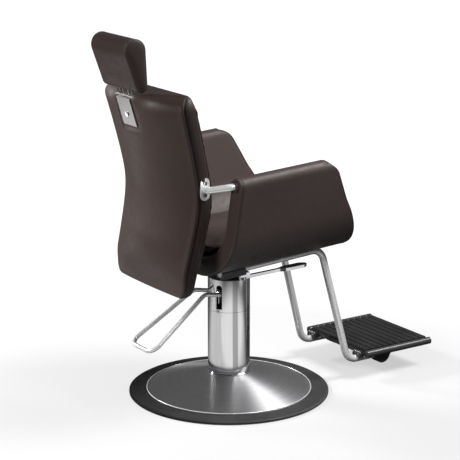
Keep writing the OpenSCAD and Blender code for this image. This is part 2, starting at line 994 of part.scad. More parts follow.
module plate_saddle(side) {
  color(rubber)
    difference() {
      translate([side * foot_x, 0, 0])
        cross_bar(saddle_y, foot_run_z, saddle_r, saddle_w);
      translate([side * foot_x - saddle_w, saddle_y - 2 * saddle_r, foot_run_z + saddle_lip])
        cube([2 * saddle_w, 4 * saddle_r, 2 * saddle_r]);
      tube_hole(side, saddle_y - 2 * saddle_r, 4 * saddle_r);
    }
}

module tube_hole(side, y, h) {
  translate([side * foot_x, y, foot_run_z])
    rotate([-90, 0, 0])
      cylinder(r = foot_tube_r, h = h);
}

module plate_saddle_left() {
  plate_saddle(-1);
}

module plate_saddle_right() {
  plate_saddle(1);
}

module hinge_clamp(side) {
  half = foot_tube_r + clamp_wall;
  y0 = hinge_y + clamp_ear_r;
  z0 = foot_run_z + clamp_lip;
  color(black)
    difference() {
      union() {
        translate([side * foot_x - half, y0, z0])
          cube([2 * half, clamp_bridge, hinge_z - z0]);
        for (x = [-half, half - ear_w]) {
          translate([side * foot_x + x, hinge_y - clamp_ear_r, z0])
            cube([ear_w, 2 * clamp_ear_r + over, hinge_z - z0]);
          translate([side * foot_x + x, hinge_y, hinge_z])
            rotate([0, 90, 0])
              cylinder(r = clamp_ear_r, h = ear_w);
        }
      }
      tube_hole(side, y0 - over, clamp_bridge + 2 * over);
      cross_bar(hinge_y, hinge_z, hinge_pin_r + fit, plate_w);
    }
}

module hinge_clamp_left() {
  hinge_clamp(-1);
}

module hinge_clamp_right() {
  hinge_clamp(1);
}

module hinge_pins() {
  half = foot_tube_r + clamp_wall;
  color(brushed)
    for (side = [-1, 1]) {
      translate([side * foot_x, 0, 0])
        cross_bar(hinge_y, hinge_z, hinge_pin_r, 2 * half);
    }
}

module footplate() {
  front_y = plate_rear_y - plate_depth;
  rim_x = plate_half_w - plate_rim_r;
  rim_z = plate_bottom_z + plate_rim_r - plate_rim_drop;
  half = foot_tube_r + clamp_wall;
  color(black)
    difference() {
      union() {
        translate([-rim_x, front_y, plate_bottom_z])
          cube([2 * rim_x, plate_depth, plate_web_t]);
        for (side = [-1, 1]) {
          translate([side * rim_x, front_y, rim_z])
            rotate([-90, 0, 0])
              cylinder(r = plate_rim_r, h = plate_depth);
          translate([side * foot_x, 0, 0])
            cross_bar(hinge_y, hinge_z, knuckle_r, knuckle_w);
          translate([side * foot_x - knuckle_w / 2, plate_rear_y - over, hinge_z - knuckle_r])
            cube([knuckle_w, hinge_y - plate_rear_y + over, knuckle_r]);
        }
      }
      for (side = [-1, 1]) {
        translate([side * foot_x - half - gap, plate_rear_y - gap, foot_run_z])
          cube([half - knuckle_w / 2, 2 * clamp_ear_r, 2 * hinge_z]);
        translate([side * foot_x + knuckle_w / 2 + gap, plate_rear_y - gap, foot_run_z])
          cube([half - knuckle_w / 2, 2 * clamp_ear_r, 2 * hinge_z]);
      }
      cross_bar(hinge_y, hinge_z, hinge_pin_r + fit, plate_w);
    }
}

module footplate_mat() {
  rim_x = plate_half_w - 2 * plate_rim_r;
  z0 = plate_bottom_z + plate_web_t;
  pitch = (plate_depth - 2 * mat_margin) / mat_ribs;
  y0 = plate_rear_y - mat_margin;
  color(rubber) {
    translate([-rim_x, y0 - plate_depth + 2 * mat_margin, z0])
      cube([2 * rim_x, plate_depth - 2 * mat_margin, mat_base_t]);
    for (i = [0 : mat_ribs - 1]) {
      translate([-rim_x, y0 - (i + 0.5 + rib_share / 2) * pitch, z0])
        cube([2 * rim_x, pitch * rib_share, plate_mat_t]);
    }
  }
}

module lever_bracket() {
  color(chrome)
    difference() {
      translate([lever_x - bracket_w / 2, lever_y - bracket_depth / 2, lever_z + lever_t + gap])
        cube([bracket_w, bracket_depth, bracket_h]);
      pitched()
        translate([-tub_half, -tub_half, -frame_t - bar_t - gap])
          cube([tub_w, tub_w, tub_half]);
      translate([lever_x, lever_y, lever_z])
        cylinder(r = lever_pin_r, h = bracket_h);
    }
}

module lever_pin() {
  z1 = lever_z + lever_t + gap;
  color(chrome)
    translate([lever_x, lever_y, lever_z - gap - lever_pin_head_h]) {
      cylinder(r = lever_pin_head_r, h = lever_pin_head_h);
      cylinder(r = lever_pin_r, h = z1 - lever_z + gap + lever_pin_head_h + 2 * gap);
    }
}

// Half-width of the lever at share s of its reach
function lever_half(s) =
  let (
    flare = smooth((s - lever_flare_start_share) / lever_flare_share),
    t = max(0, s - 1 + lever_tip_share) / lever_tip_share)
  (lever_neck + (lever_grip - lever_neck) * flare) / 2 * sqrt(1 - t * t * edge_keep_share);

module control_lever() {
  axis = [for (i = [0 : lever_steps]) i / lever_steps];
  color(chrome)
    translate([lever_x, lever_y, lever_z])
      difference() {
        union() {
          cylinder(r = lever_eye_r, h = lever_t);
          linear_extrude(height = lever_t)
            polygon(concat(
              [for (s = axis) [lever_drift * s + lever_half(s), -lever_reach * s]],
              [for (i = [lever_steps : -1 : 0])
                let (s = axis[i]) [lever_drift * s - lever_half(s), -lever_reach * s]]));
        }
        translate([0, 0, -over])
          cylinder(r = lever_pin_r + fit, h = lever_t + 2 * over);
      }
}

// Places children with their Z axis along the strut, front end first
module along_strut(y) {
  translate([0, y, strut_at(y)])
    rotate([-90 - atan(strut_slope), 0, 0])
      children();
}

module strut_cylinder() {
  length = (strut_tube_rear - strut_tube_front) / cos(atan(strut_slope));
  color(black)
    difference() {
      union() {
        along_strut(strut_tube_front)
          cylinder(r = strut_r, h = length);
        cross_bar(strut_front_y, strut_at(strut_front_y), strut_eye_r, strut_eye_w);
        along_strut(strut_front_y)
          translate([-strut_eye_w / 2, -strut_neck_r, 0])
            cube([strut_eye_w, 2 * strut_neck_r, strut_tube_front - strut_front_y + over]);
      }
      along_strut(strut_tube_front + strut_pin_r)
        cylinder(r = strut_bore_r, h = length);
      cross_bar(strut_front_y, strut_at(strut_front_y), strut_pin_r, 2 * strut_eye_w);
    }
}

module strut_front_pin() {
  w = strut_eye_w + 2 * strut_ear_gap + 2 * strut_ear_t;
  color(brushed)
    cross_bar(strut_front_y, strut_at(strut_front_y), strut_pin_r, w);
}

module strut_rod() {
  length = (strut_y - strut_rod_front) / cos(atan(strut_slope));
  color(chrome)
    difference() {
      union() {
        along_strut(strut_rod_front)
          cylinder(r = strut_rod_r, h = length);
        cross_bar(strut_y, strut_z, strut_eye_r, strut_eye_w);
      }
      cross_bar(strut_y, strut_z, strut_pin_r + strut_pin_slack, 2 * strut_eye_w);
    }
}

module strut_bracket() {
  ear_x0 = strut_eye_w / 2 + strut_ear_gap;
  y1 = back_line(strut_z + strut_plate_h / 2) - band_t;
  color(black)
    difference() {
      union() {
        translate([-ear_x0 - 2 * strut_ear_t, y1 + strut_plate_t, strut_z - strut_eye_r])
          cube([2 * ear_x0 + 4 * strut_ear_t, strut_plate_t, strut_plate_h]);
        for (x = [-ear_x0 - strut_ear_t, ear_x0]) {
          translate([x, strut_y, strut_z - strut_eye_r])
            cube([strut_ear_t, y1 + strut_plate_t - strut_y + over, 2 * strut_eye_r]);
          translate([x, strut_y, strut_z])
            rotate([0, 90, 0])
              cylinder(r = strut_eye_r, h = strut_ear_t);
        }
      }
      cross_bar(strut_y, strut_z, strut_pin_r, 4 * strut_eye_w);
    }
}

// Flat in the front of the back where the strut bracket seats
module strut_pocket() {
  y1 = back_line(strut_z + strut_plate_h / 2) - band_t;
  ear_x0 = strut_eye_w / 2 + strut_ear_gap;
  translate([-ear_x0 - 2 * strut_ear_t - gap, y1 + 2 * strut_plate_t - band_t, 0])
    cube([2 * ear_x0 + 4 * strut_ear_t + 2 * gap, band_t, strut_z - strut_eye_r + strut_plate_h + gap]);
}

module strut_rear_pin() {
  w = strut_eye_w + 2 * strut_ear_gap + 2 * strut_ear_t;
  color(brushed)
    cross_bar(strut_y, strut_z, strut_pin_r, w);
}

// One level of the back: convex rear, rounded side bands, straight front
function back_ring(z) =
  let (
    low = z - back_bottom_z,
    high = back_top_z - z,
    corner = max(round_in(low, back_bottom_corner), round_in(high, back_top_corner)),
    edge = max(round_in(low, back_edge_r), round_in(high, back_edge_r)) * end_keep_share,
    w = back_half(z) - corner * edge_keep_share,
    tuck = bottom_tuck * (1 - smooth(low / tuck_h)),
    crown = rear_crown * (1 - tuck_crown_share * (1 - smooth(low / tuck_h))),
    y1 = back_line(z) - edge - tuck,
    y0 = back_line(z) - band_t + edge,
    r = back_edge_r,
    k = back_edge_steps)
  concat(
    [for (i = [0 : back_rear_steps])
      let (u = 1 - 2 * i / back_rear_steps)
      [(w - r) * u, y1 + crown * (1 - u * u), z]],
    [for (i = [1 : k]) let (a = 90 * i / k) [-(w - r) - r * sin(a), y1 - r + r * cos(a), z]],
    [for (i = [0 : k]) let (a = 90 * i / k) [-(w - r) - r * cos(a), y0 + r - r * sin(a), z]],
    [for (i = [1 : back_front_steps - 1])
      let (u = -1 + 2 * i / back_front_steps) [(w - r) * u, y0, z]],
    [for (i = [0 : k]) let (a = 90 * i / k) [(w - r) + r * sin(a), y0 + r - r * cos(a), z]],
    [for (i = [0 : k - 1]) let (a = 90 * i / k) [(w - r) + r * cos(a), y1 - r + r * sin(a), z]]);

// Levels of the back, closer together near its two ends
back_levels = [for (i = [0 : back_rings])
  back_bottom_z + (back_top_z - back_bottom_z) * (1 - cos(180 * i / back_rings)) / 2];

module back_shell() {
  color(leather)
    difference() {
      skin([for (z = back_levels) back_ring(z)]);
      for (side = [-1, 1]) {
        flange_pocket(side);
        post_bore(side);
      }
      latch_pocket();
      strut_pocket();
    }
}

// Bore for the flange hub and a shallow flat for the flange on one side of the back
module flange_pocket(side) {
  translate([side * seat_face_x, pivot_y, pivot_z])
    rotate([0, side * 90, 0]) {
      flange_outline(2 * flange_sink + over, gap);
      translate([0, 0, -flange_hub_depth])
        cylinder(r = flange_hub_r, h = flange_hub_depth + over);
      for (v = [-1, 1]) {
        translate([v * flange_half_h, 0, -screw_depth])
          cylinder(r = screw_r, h = screw_depth + over);
      }
    }
}

// Stadium outline of the flange, its long axis along Z once it is placed
module flange_outline(t, grow) {
  r = flange_half_w + grow;
  translate([-flange_half_h, -r, 0])
    cube([2 * flange_half_h, 2 * r, t]);
  for (v = [-1, 1]) {
    translate([v * flange_half_h, 0, 0])
      cylinder(r = r, h = t);
  }
}

module pivot_flange(side) {
  color(chrome)
    translate([side * seat_face_x, pivot_y, pivot_z])
      rotate([0, side * 90, 0])
        difference() {
          union() {
            flange_outline(flange_t_side, 0);
            translate([0, 0, -flange_hub_depth])
              cylinder(r = flange_hub_r, h = flange_hub_depth + over);
          }
          translate([0, 0, -flange_hub_depth + 2 * gap])
            cylinder(r = link_r + fit, h = flange_hub_depth + flange_t_side + over);
          for (v = [-1, 1]) {
            translate([v * flange_half_h, 0, -over])
              cylinder(r = screw_r + fit, h = flange_t_side + 2 * over);
          }
        }
}

module pivot_flange_left() {
  pivot_flange(-1);
}

module pivot_flange_right() {
  pivot_flange(1);
}

module flange_screws() {
  color(chrome)
    for (side = [-1, 1], v = [-1, 1]) {
      translate([side * seat_face_x, pivot_y, pivot_z])
        rotate([0, side * 90, 0])
          translate([v * flange_half_h, 0, 0]) {
            translate([0, 0, -screw_depth])
              cylinder(r = screw_r, h = screw_depth + flange_t_side);
            translate([0, 0, flange_t_side])
              cylinder(r = screw_head_r, h = screw_head_t);
          }
    }
}

// Front pad: its flat side follows the shell, its face is crowned
module back_pad() {
  levels = concat(
    [for (i = [0 : pad_end_steps]) pad_bottom_z + pad_edge_r * (1 - cos(90 * i / pad_end_steps))],
    [for (z = back_levels) if (z > pad_bottom_z + pad_edge_r + over && z < pad_top_z - pad_edge_r - over) z],
    [for (i = [pad_end_steps : -1 : 0]) pad_top_z - pad_edge_r * (1 - cos(90 * i / pad_end_steps))]);
  color(leather)
    skin([for (z = levels) pad_ring(z)]);
}

function pad_ring(z) =
  let (
    d = min(z - pad_bottom_z, pad_top_z - z),
    w = back_half(z) - pad_inset - min(round_in(d, pad_edge_r), pad_edge_r * edge_keep_share),
    y1 = back_line(z) - band_t - gap,
    rise = smooth(d / (pad_edge_r * 3)))
  concat(
    [[w, y1, z], [-w, y1, z]],
    [[-w - pad_edge_t / 3, y1 - pad_edge_t / 2, z]],
    [for (i = [0 : pad_cols])
      let (u = -1 + 2 * i / pad_cols)
      [w * u, y1 - pad_edge_t - (pad_t - pad_edge_t) * rise * (1 - abs(u * u * u)), z]],
    [[w + pad_edge_t / 3, y1 - pad_edge_t / 2, z]]);

// Places children with their Z axis along the headrest posts, origin at the post guides
module along_posts() {
  translate([0, post_y, post_z])
    rotate([-head_lean, 0, 0])
      children();
}

module post_bore(side) {
  along_posts()
    translate([side * post_x, 0, 0]) {
      translate([0, 0, -post_below - over])
        cylinder(r = post_r + gap, h = 2 * post_below);
      translate([0, 0, -guide_h])
        cylinder(r = guide_r, h = 2 * post_below);
    }
}

module post_guides() {
  color(chrome)
    along_posts()
      for (side = [-1, 1]) {
        translate([side * post_x, 0, -guide_h])
          difference() {
            cylinder(r = guide_r, h = guide_h + guide_stand);
            translate([0, 0, -over])
              cylinder(r = post_r + fit, h = guide_h + guide_stand + 2 * over);
          }
      }
}

// Flat for the latch plate in the rear of the back, with the bore of its button
module latch_pocket() {
  along_posts() {
    translate([-latch_w / 2, latch_out - latch_t, -latch_drop - latch_h])
      cube([latch_w, band_t, latch_h + band_t]);
    translate([0, latch_out - button_depth - button_stand - over, -latch_drop - button_drop])
      rotate([-90, 0, 0])
        cylinder(r = button_r + gap, h = band_t);
  }
}

module latch_plate() {
  color(brushed)
    along_posts()
      difference() {
        union() {
          translate([-latch_w / 2, latch_out - latch_t, -latch_drop - latch_h])
            cube([latch_w, latch_t, latch_h]);
        }
        translate([0, latch_out - latch_t - over, -latch_drop - button_drop])
          rotate([-90, 0, 0])
            cylinder(r = button_r + fit, h = latch_t + 2 * over);
      }
}

module latch_button() {
  color(chrome)
    along_posts()
      translate([0, latch_out - button_depth, -latch_drop - button_drop])
        rotate([-90, 0, 0])
          cylinder(r = button_r, h = button_depth + button_stand);
}

module headrest_posts() {
  color(chrome)
    along_posts()
      for (side = [-1, 1]) {
        translate([side * post_x, 0, -post_below])
          cylinder(r = post_r, h = post_below + post_above);
      }
}

// Outline of the headrest from the side: two rounds and their tangents, grown by e
function head_ring(x, e) =
  let (
    rt = head_top_t / 2 - e,
    rb = head_bottom_t / 2 - e,
    h = head_h - head_top_t / 2 - head_bottom_t / 2,
    tilt = asin((head_top_t - head_bottom_t) / 2 / h))
  [for (i = [0 : head_rings - 1])
    let (
      a = 360 * i / head_rings,
      up = sin(a) > -sin(tilt),
      y = (up ? rt : rb) * cos(a),
      z = head_bottom_t / 2 + (up ? h : 0) + (up ? rt : rb) * sin(a))
    [x, y, z]];

module headrest_pad() {
  half = head_w / 2;
  xs = [for (i = [0 : 2 * head_cols]) -half * cos(180 * i / (2 * head_cols))];
  color(leather)
    difference() {
      translate([0, head_y, head_z])
        rotate([-head_pad_lean, 0, 0])
          skin([for (x = xs)
            head_ring(x, min(round_in(half - abs(x), head_corner_r), head_corner_r * end_keep_share))]);
      along_posts()
        for (side = [-1, 1]) {
          translate([side * post_x, 0, 0])
            cylinder(r = post_r, h = post_above);
        }
    }
}

base_ring();
base_plate();
base_disc();
foot_collar();
column_tube();
column_sleeve();
column_cap();
pump_body();
pump_gland();
pump_bolts();
pedal_axle();
pump_pedal();
pump_plunger();
ram();
swivel_hub();
seat_frame();
frame_bolts();
tub_shell();
seat_cushion();
arm_bush_left();
arm_bush_right();
arm_link_left();
arm_link_right();
footrest_tube_left();
footrest_tube_right();
tube_plugs();
plate_saddle_left();
plate_saddle_right();
hinge_clamp_left();
hinge_clamp_right();
hinge_pins();
footplate();
footplate_mat();
lever_bracket();
lever_pin();
control_lever();
strut_cylinder();
strut_front_pin();
strut_rod();
strut_bracket();
strut_rear_pin();
back_shell();
back_pad();
pivot_flange_left();
pivot_flange_right();
flange_screws();
latch_plate();
post_guides();
latch_button();
headrest_posts();
headrest_pad();
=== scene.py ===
"""Threading chair: studio scene around the CAD frame, in metres."""
import math
import bpy
import bmesh
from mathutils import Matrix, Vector
from mathutils.bvhtree import BVHTree


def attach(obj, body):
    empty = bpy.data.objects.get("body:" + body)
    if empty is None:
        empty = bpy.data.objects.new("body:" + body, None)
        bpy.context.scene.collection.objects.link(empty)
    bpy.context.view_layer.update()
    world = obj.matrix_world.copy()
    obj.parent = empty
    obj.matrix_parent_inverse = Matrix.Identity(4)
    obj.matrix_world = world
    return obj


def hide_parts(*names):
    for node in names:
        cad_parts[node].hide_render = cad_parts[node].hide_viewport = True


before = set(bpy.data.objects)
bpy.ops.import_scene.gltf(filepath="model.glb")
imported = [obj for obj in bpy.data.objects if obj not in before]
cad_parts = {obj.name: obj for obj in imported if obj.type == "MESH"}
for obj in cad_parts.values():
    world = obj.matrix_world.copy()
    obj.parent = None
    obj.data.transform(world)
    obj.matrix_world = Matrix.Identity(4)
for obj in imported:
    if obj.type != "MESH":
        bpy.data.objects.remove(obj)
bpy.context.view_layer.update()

# camera
CAM_AT = Vector((-4.216, 2.839, 1.8235))
CAM_DIR = Vector((0.8027, -0.5404, -0.2523)).normalized()
SENSOR_MM = 36.0
IMAGE_PX = 460
FOCAL_PX = 1783.5
SHIFT_PX = 1.32


def make_camera():
    data = bpy.data.cameras.new("camera")
    data.sensor_width = SENSOR_MM
    data.lens = FOCAL_PX / IMAGE_PX * SENSOR_MM
    data.shift_x = SHIFT_PX / IMAGE_PX
    data.clip_end = 60
    cam = bpy.data.objects.new("camera", data)
    bpy.context.scene.collection.objects.link(cam)
    cam.location = CAM_AT
    cam.rotation_euler = CAM_DIR.to_track_quat("-Z", "Y").to_euler()
    bpy.context.scene.camera = cam


make_camera()


# node helpers
def lin(c):
    """A colour written as 0-255 sRGB, as the linear value that shaders take."""
    out = []
    for v in c:
        v = v / 255
        out.append(v / 12.92 if v <= 0.04045 else ((v + 0.055) / 1.055) ** 2.4)
    return (*out, 1.0)


class Nodes:
    """A material's node tree with short calls for the nodes used here."""

    def __init__(self, name):
        self.mat = bpy.data.materials.new(name)
        self.mat.use_nodes = True
        self.tree = self.mat.node_tree
        self.bsdf = self.tree.nodes["Principled BSDF"]
        self.coords = self.tree.nodes.new("ShaderNodeTexCoord").outputs["Object"]

    def put(self, socket, value):
        if isinstance(value, bpy.types.NodeSocket):
            self.tree.links.new(value, socket)
        else:
            socket.default_value = value

    def stretch(self, scale):
        m = self.tree.nodes.new("ShaderNodeMapping")
        self.put(m.inputs["Vector"], self.coords)
        m.inputs["Scale"].default_value = scale
        return m.outputs["Vector"]

    def noise(self, scale, detail=2.0, rough=0.5, vec=None):
        n = self.tree.nodes.new("ShaderNodeTexNoise")
        self.put(n.inputs["Vector"], vec or self.coords)
        n.inputs["Scale"].default_value = scale
        n.inputs["Detail"].default_value = detail
        n.inputs["Roughness"].default_value = rough
        return n.outputs["Fac"]

    def cells(self, scale):
        n = self.tree.nodes.new("ShaderNodeTexVoronoi")
        self.put(n.inputs["Vector"], self.coords)
        n.inputs["Scale"].default_value = scale
        return n.outputs["Distance"]

    def edge_wear(self, low=0.52, high=0.6):
        g = self.tree.nodes.new("ShaderNodeNewGeometry")
        return self.span(g.outputs["Pointiness"], 0, 1, low, high)

    def span(self, fac, low, high, from_low=0.3, from_high=0.7):
        n = self.tree.nodes.new("ShaderNodeMapRange")
        self.put(n.inputs["Value"], fac)
        n.inputs["From Min"].default_value = from_low
        n.inputs["From Max"].default_value = from_high
        n.inputs["To Min"].default_value = low
        n.inputs["To Max"].default_value = high
        return n.outputs["Result"]

    def math(self, op, a, b=0.0):
        n = self.tree.nodes.new("ShaderNodeMath")
        n.operation = op
        self.put(n.inputs[0], a)
        self.put(n.inputs[1], b)
        return n.outputs[0]

    def blend(self, fac, a, b):
        n = self.tree.nodes.new("ShaderNodeMix")
        n.data_type = "RGBA"
        self.put(n.inputs["Factor"], fac)
        self.put(n.inputs["A"], a)
        self.put(n.inputs["B"], b)
        return n.outputs["Result"]

    def bump(self, height, distance, strength=1.0, after=None):
        n = self.tree.nodes.new("ShaderNodeBump")
        self.put(n.inputs["Height"], height)
        n.inputs["Distance"].default_value = distance
        n.inputs["Strength"].default_value = strength
        if after:
            self.put(n.inputs["Normal"], after)
        return n.outputs["Normal"]

    def set(self, **values):
        for key, value in values.items():
            self.put(self.bsdf.inputs[key.replace("_", " ")], value)
        return self.mat


def leather():
    n = Nodes("leather_brown")
    tone = n.blend(n.span(n.noise(4, 3), 0, 1), lin((58, 48, 45)), lin((65, 54, 51)))
    tone = n.blend(n.math("MULTIPLY", n.edge_wear(), 0.25), tone, lin((92, 82, 78)))
    pores = n.span(n.cells(850), 0, 1, 0.0, 0.6)
    colour = n.blend(n.span(n.noise(320, 2), 0.0, 0.3), tone, lin((52, 43, 40)))
    grain = n.bump(pores, 0.0002, 0.4)
    folds = n.bump(n.noise(30, 3, 0.55), 0.0015, 0.16, grain)
    # leather on the sides is a little duller than on the rounds and the front
    facing = n.tree.nodes.new("ShaderNodeSeparateXYZ")
    n.put(facing.inputs[0], n.coords.node.outputs["Normal"])
    rubbed = n.span(n.math("ABSOLUTE", facing.outputs[0]), 0, 0.12, 0.6, 0.93)
    return n.set(Base_Color=colour, Specular_IOR_Level=0.3, Normal=folds,
                 Roughness=n.math("ADD", n.span(n.noise(60, 2), 0.4, 0.5), rubbed))


# darker leather for the seam beads: the seams' own dark, and in the back's deep side groove also
# painted shade for the groove
def seam_and_shade_leather():
    n = Nodes("leather_seam_and_shade")
    colour = n.blend(n.noise(90, 2), lin((30, 25, 23)), lin((40, 34, 31)))
    return n.set(Base_Color=colour, Roughness=n.span(n.noise(300, 2), 0.45, 0.6),
                 Normal=n.bump(n.noise(900, 2), 0.0003, 0.5))


def thread():
    n = Nodes("stitch_thread")
    colour = n.blend(n.noise(700, 2), lin((58, 50, 46)), lin((78, 68, 63)))
    return n.set(Base_Color=colour, Roughness=n.span(n.noise(900, 2), 0.5, 0.7),
                 Normal=n.bump(n.noise(1, 2, 0.5, n.stretch((2600, 2600, 2600))), 0.0002, 0.6))


def chrome(name="chrome", low=0.05, high=0.11, tone=(206, 206, 208), metal=1.0):
    n = Nodes(name)
    colour = n.blend(n.span(n.noise(14, 2), 0, 1), lin(tone), lin([v - 14 for v in tone]))
    return n.set(Base_Color=colour, Metallic=metal, Roughness=n.span(n.noise(40, 3), low, high),
                 Normal=n.bump(n.noise(700, 2), 0.00004, 0.2))


def brushed_round():
    """Turned disc: fine rings about the column and a soft grey satin."""
    n = Nodes("brushed_disc")
    split = n.tree.nodes.new("ShaderNodeSeparateXYZ")
    n.put(split.inputs[0], n.coords)
    x, y = split.outputs[0], split.outputs[1]
    r = n.math("SQRT", n.math("ADD", n.math("MULTIPLY", x, x), n.math("MULTIPLY", y, y)))
    join = n.tree.nodes.new("ShaderNodeCombineXYZ")
    n.put(join.inputs[0], r)
    rings = n.noise(1500, 3, 0.6, join.outputs[0])
    wide = n.noise(160, 2, 0.5, join.outputs[0])
    colour = n.blend(n.span(wide, 0, 1), lin((184, 184, 186)), lin((200, 200, 202)))
    around = n.tree.nodes.new("ShaderNodeTangent")
    around.direction_type = "RADIAL"
    around.axis = "Z"
    return n.set(Base_Color=colour, Metallic=0.92, Roughness=n.span(rings, 0.5, 0.58),
                 Anisotropic=0.85, Anisotropic_Rotation=0.25, Tangent=around.outputs[0],
                 Normal=n.bump(rings, 0.00012, 0.3))


def brushed_flat(name="brushed_plate", stretch=(900, 900, 40), tone=(176, 174, 172),
                 low=0.24, high=0.36, depth=0.3):
    n = Nodes(name)
    lines = n.noise(1, 3, 0.6, n.stretch(stretch))
    colour = n.blend(n.span(lines, 0, 1), lin([v - 16 for v in tone]), lin(tone))
    return n.set(Base_Color=colour, Metallic=1.0, Roughness=n.span(lines, low, high),
                 Normal=n.bump(lines, 0.00008, depth))


def rubber(name="rubber_ring", tone=(48, 48, 49), scale=420):
    n = Nodes(name)
    dust = n.span(n.noise(9, 4), 0, 1, 0.45, 0.75)
    colour = n.blend(dust, lin(tone), lin([v + 12 for v in tone]))
    return n.set(Base_Color=colour, Roughness=n.span(n.noise(30, 2), 0.58, 0.74),
                 Specular_IOR_Level=0.35, Normal=n.bump(n.noise(scale, 3), 0.0003, 0.35))


def painted(name="black_paint", tone=(22, 22, 23), low=0.32, high=0.46):
    n = Nodes(name)
    colour = n.blend(n.span(n.noise(20, 3), 0, 1), lin(tone), lin([v + 8 for v in tone]))
    colour = n.blend(n.math("MULTIPLY", n.edge_wear(), 0.3), colour, lin([v + 40 for v in tone]))
    return n.set(Base_Color=colour, Roughness=n.span(n.noise(70, 2), low, high),
                 Normal=n.bump(n.noise(1100, 2), 0.0001, 0.3))


LEATHER = leather()
# dark seam leather, which in the back's side groove also stands for painted shade
SEAM_AND_SHADE = seam_and_shade_leather()
THREAD = thread()
CHROME = chrome()
SATIN = chrome("satin_chrome", 0.2, 0.28, (236, 236, 236), 0.5)
DISC = brushed_round()
COLUMN = brushed_flat("column_steel", (700, 700, 6), (232, 232, 232), 0.07, 0.12, 0.12)
PLATE = brushed_flat()
RUBBER = rubber()
MAT_RUBBER = rubber("mat_rubber", (15, 15, 15), 300)
BLACK = painted()
PLASTIC = painted("black_plastic", (18, 18, 18), 0.45, 0.6)
CAST = painted("black_casting", (30, 30, 31), 0.26, 0.38)

FINISH = {
    "base_ring": RUBBER, "base_plate": PLATE, "base_disc": DISC, "foot_collar": CHROME,
    "column_tube": COLUMN, "column_sleeve": COLUMN, "column_cap": PLASTIC, "pump_body": PLATE,
    "pump_gland": PLASTIC, "pump_bolts": BLACK, "pedal_axle": PLATE, "pump_pedal": SATIN,
    "pump_plunger": CHROME, "ram": CHROME, "swivel_hub": BLACK, "seat_frame": BLACK,
    "frame_bolts": BLACK, "arm_bush_left": PLASTIC, "arm_bush_right": PLASTIC,
    "arm_link_left": SATIN, "arm_link_right": SATIN, "footrest_tube_left": SATIN,
    "footrest_tube_right": SATIN, "tube_plugs": PLASTIC, "plate_saddle_left": RUBBER,
    "plate_saddle_right": RUBBER, "hinge_clamp_left": BLACK, "hinge_clamp_right": BLACK,
    "hinge_pins": PLATE, "footplate": CAST, "footplate_mat": MAT_RUBBER,
    "lever_bracket": CHROME, "lever_pin": CHROME, "control_lever": CHROME,
    "strut_cylinder": BLACK, "strut_front_pin": PLATE, "strut_rod": CHROME,
    "strut_bracket": BLACK, "strut_rear_pin": PLATE, "pivot_flange_left": SATIN,
    "pivot_flange_right": SATIN, "flange_screws": CHROME, "latch_plate": PLATE,
    "post_guides": CHROME, "latch_button": CHROME, "headrest_posts": CHROME,
}


def finish_nodes():
    for name, mat in FINISH.items():
        obj = bpy.data.objects[name]
        if not obj.material_slots:
            obj.data.materials.append(mat)
        for slot in obj.material_slots:
            slot.material = mat


finish_nodes()


# mesh helpers
def smooth(t):
    t = min(1.0, max(0.0, t))
    return t * t * (3 - 2 * t)


def round_in(d, r):
    """Height lost to a quarter round of radius r at distance d from the edge."""
    if d >= r:
        return 0.0
    return r if d <= 0 else r - math.sqrt(r * r - (r - d) ** 2)


def ends(n):
    """n + 1 shares from 0 to 1, closer together near both ends."""
    return [(1 - math.cos(math.pi * i / n)) / 2 for i in range(n + 1)]


def add_mesh(name, verts, faces, mat):
    me = bpy.data.meshes.new(name)
    me.from_pydata(verts, [], faces)
    me.materials.append(mat)
    for p in me.polygons:
        p.use_smooth = True
    obj = bpy.data.objects.new(name, me)
    bpy.context.scene.collection.objects.link(obj)
    return obj


def loft(name, rings, mat, cap_rings=3, dome=(0.0, 0.0, 0.0)):
    """Skins closed rings, and closes both ends with rings that shrink to a line."""
    def shrunk(ring, out):
        c = sum(ring, Vector()) / len(ring)
        steps = []
        for k in range(1, cap_rings + 1):
            s = 1 - k / (cap_rings + 1)
            steps.append([c + (p - c) * s + out * math.sqrt(1 - s * s) for p in ring])
        return steps
    bulge = Vector(dome)
    rings = list(reversed(shrunk(rings[0], -bulge))) + rings + shrunk(rings[-1], bulge)
    n = len(rings[0])
    bm = bmesh.new()
    verts = [[bm.verts.new(p) for p in ring] for ring in rings]
    for a, b in zip(verts, verts[1:]):
        for j in range(n):
            bm.faces.new((a[j], a[(j + 1) % n], b[(j + 1) % n], b[j]))
    bm.faces.new(list(reversed(verts[0])))
    bm.faces.new(verts[-1])
    bmesh.ops.recalc_face_normals(bm, faces=bm.faces)
    me = bpy.data.meshes.new(name)
    bm.to_mesh(me)
    bm.free()
    me.materials.append(mat)
    for p in me.polygons:
        p.use_smooth = True
    obj = bpy.data.objects.new(name, me)
    bpy.context.scene.collection.objects.link(obj)
    return obj


def bead(name, lines, radius, mat, body, sides=6, closed=False):
    """Round beads along lists of points, all in one piece that rides on a body."""
    verts, faces = [], []
    for pts in lines:
        first = len(verts)
        n = len(pts)
        for i, p in enumerate(pts):
            a = pts[(i - 1) % n] if closed or i else p
            b = pts[(i + 1) % n] if closed or i < n - 1 else p
            d = (b - a).normalized()
            u = d.cross(Vector((0.31, 0.17, 0.94)))
            u = u.normalized() if u.length > 0.1 else d.cross(Vector((1, 0, 0))).normalized()
            v = d.cross(u)
            for k in range(sides):
                t = 2 * math.pi * k / sides
                verts.append(p + (u * math.cos(t) + v * math.sin(t)) * radius)
        span = n if closed else n - 1
        for i in range(span):
            j = (i + 1) % n
            for k in range(sides):
                m = (k + 1) % sides
                faces.append((first + i * sides + k, first + i * sides + m,
                              first + j * sides + m, first + j * sides + k))
        if not closed:
            faces.append(tuple(first + k for k in reversed(range(sides))))
            faces.append(tuple(first + (n - 1) * sides + k for k in range(sides)))
    obj = add_mesh(name, verts, faces, mat)
    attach(obj, body)
    return obj


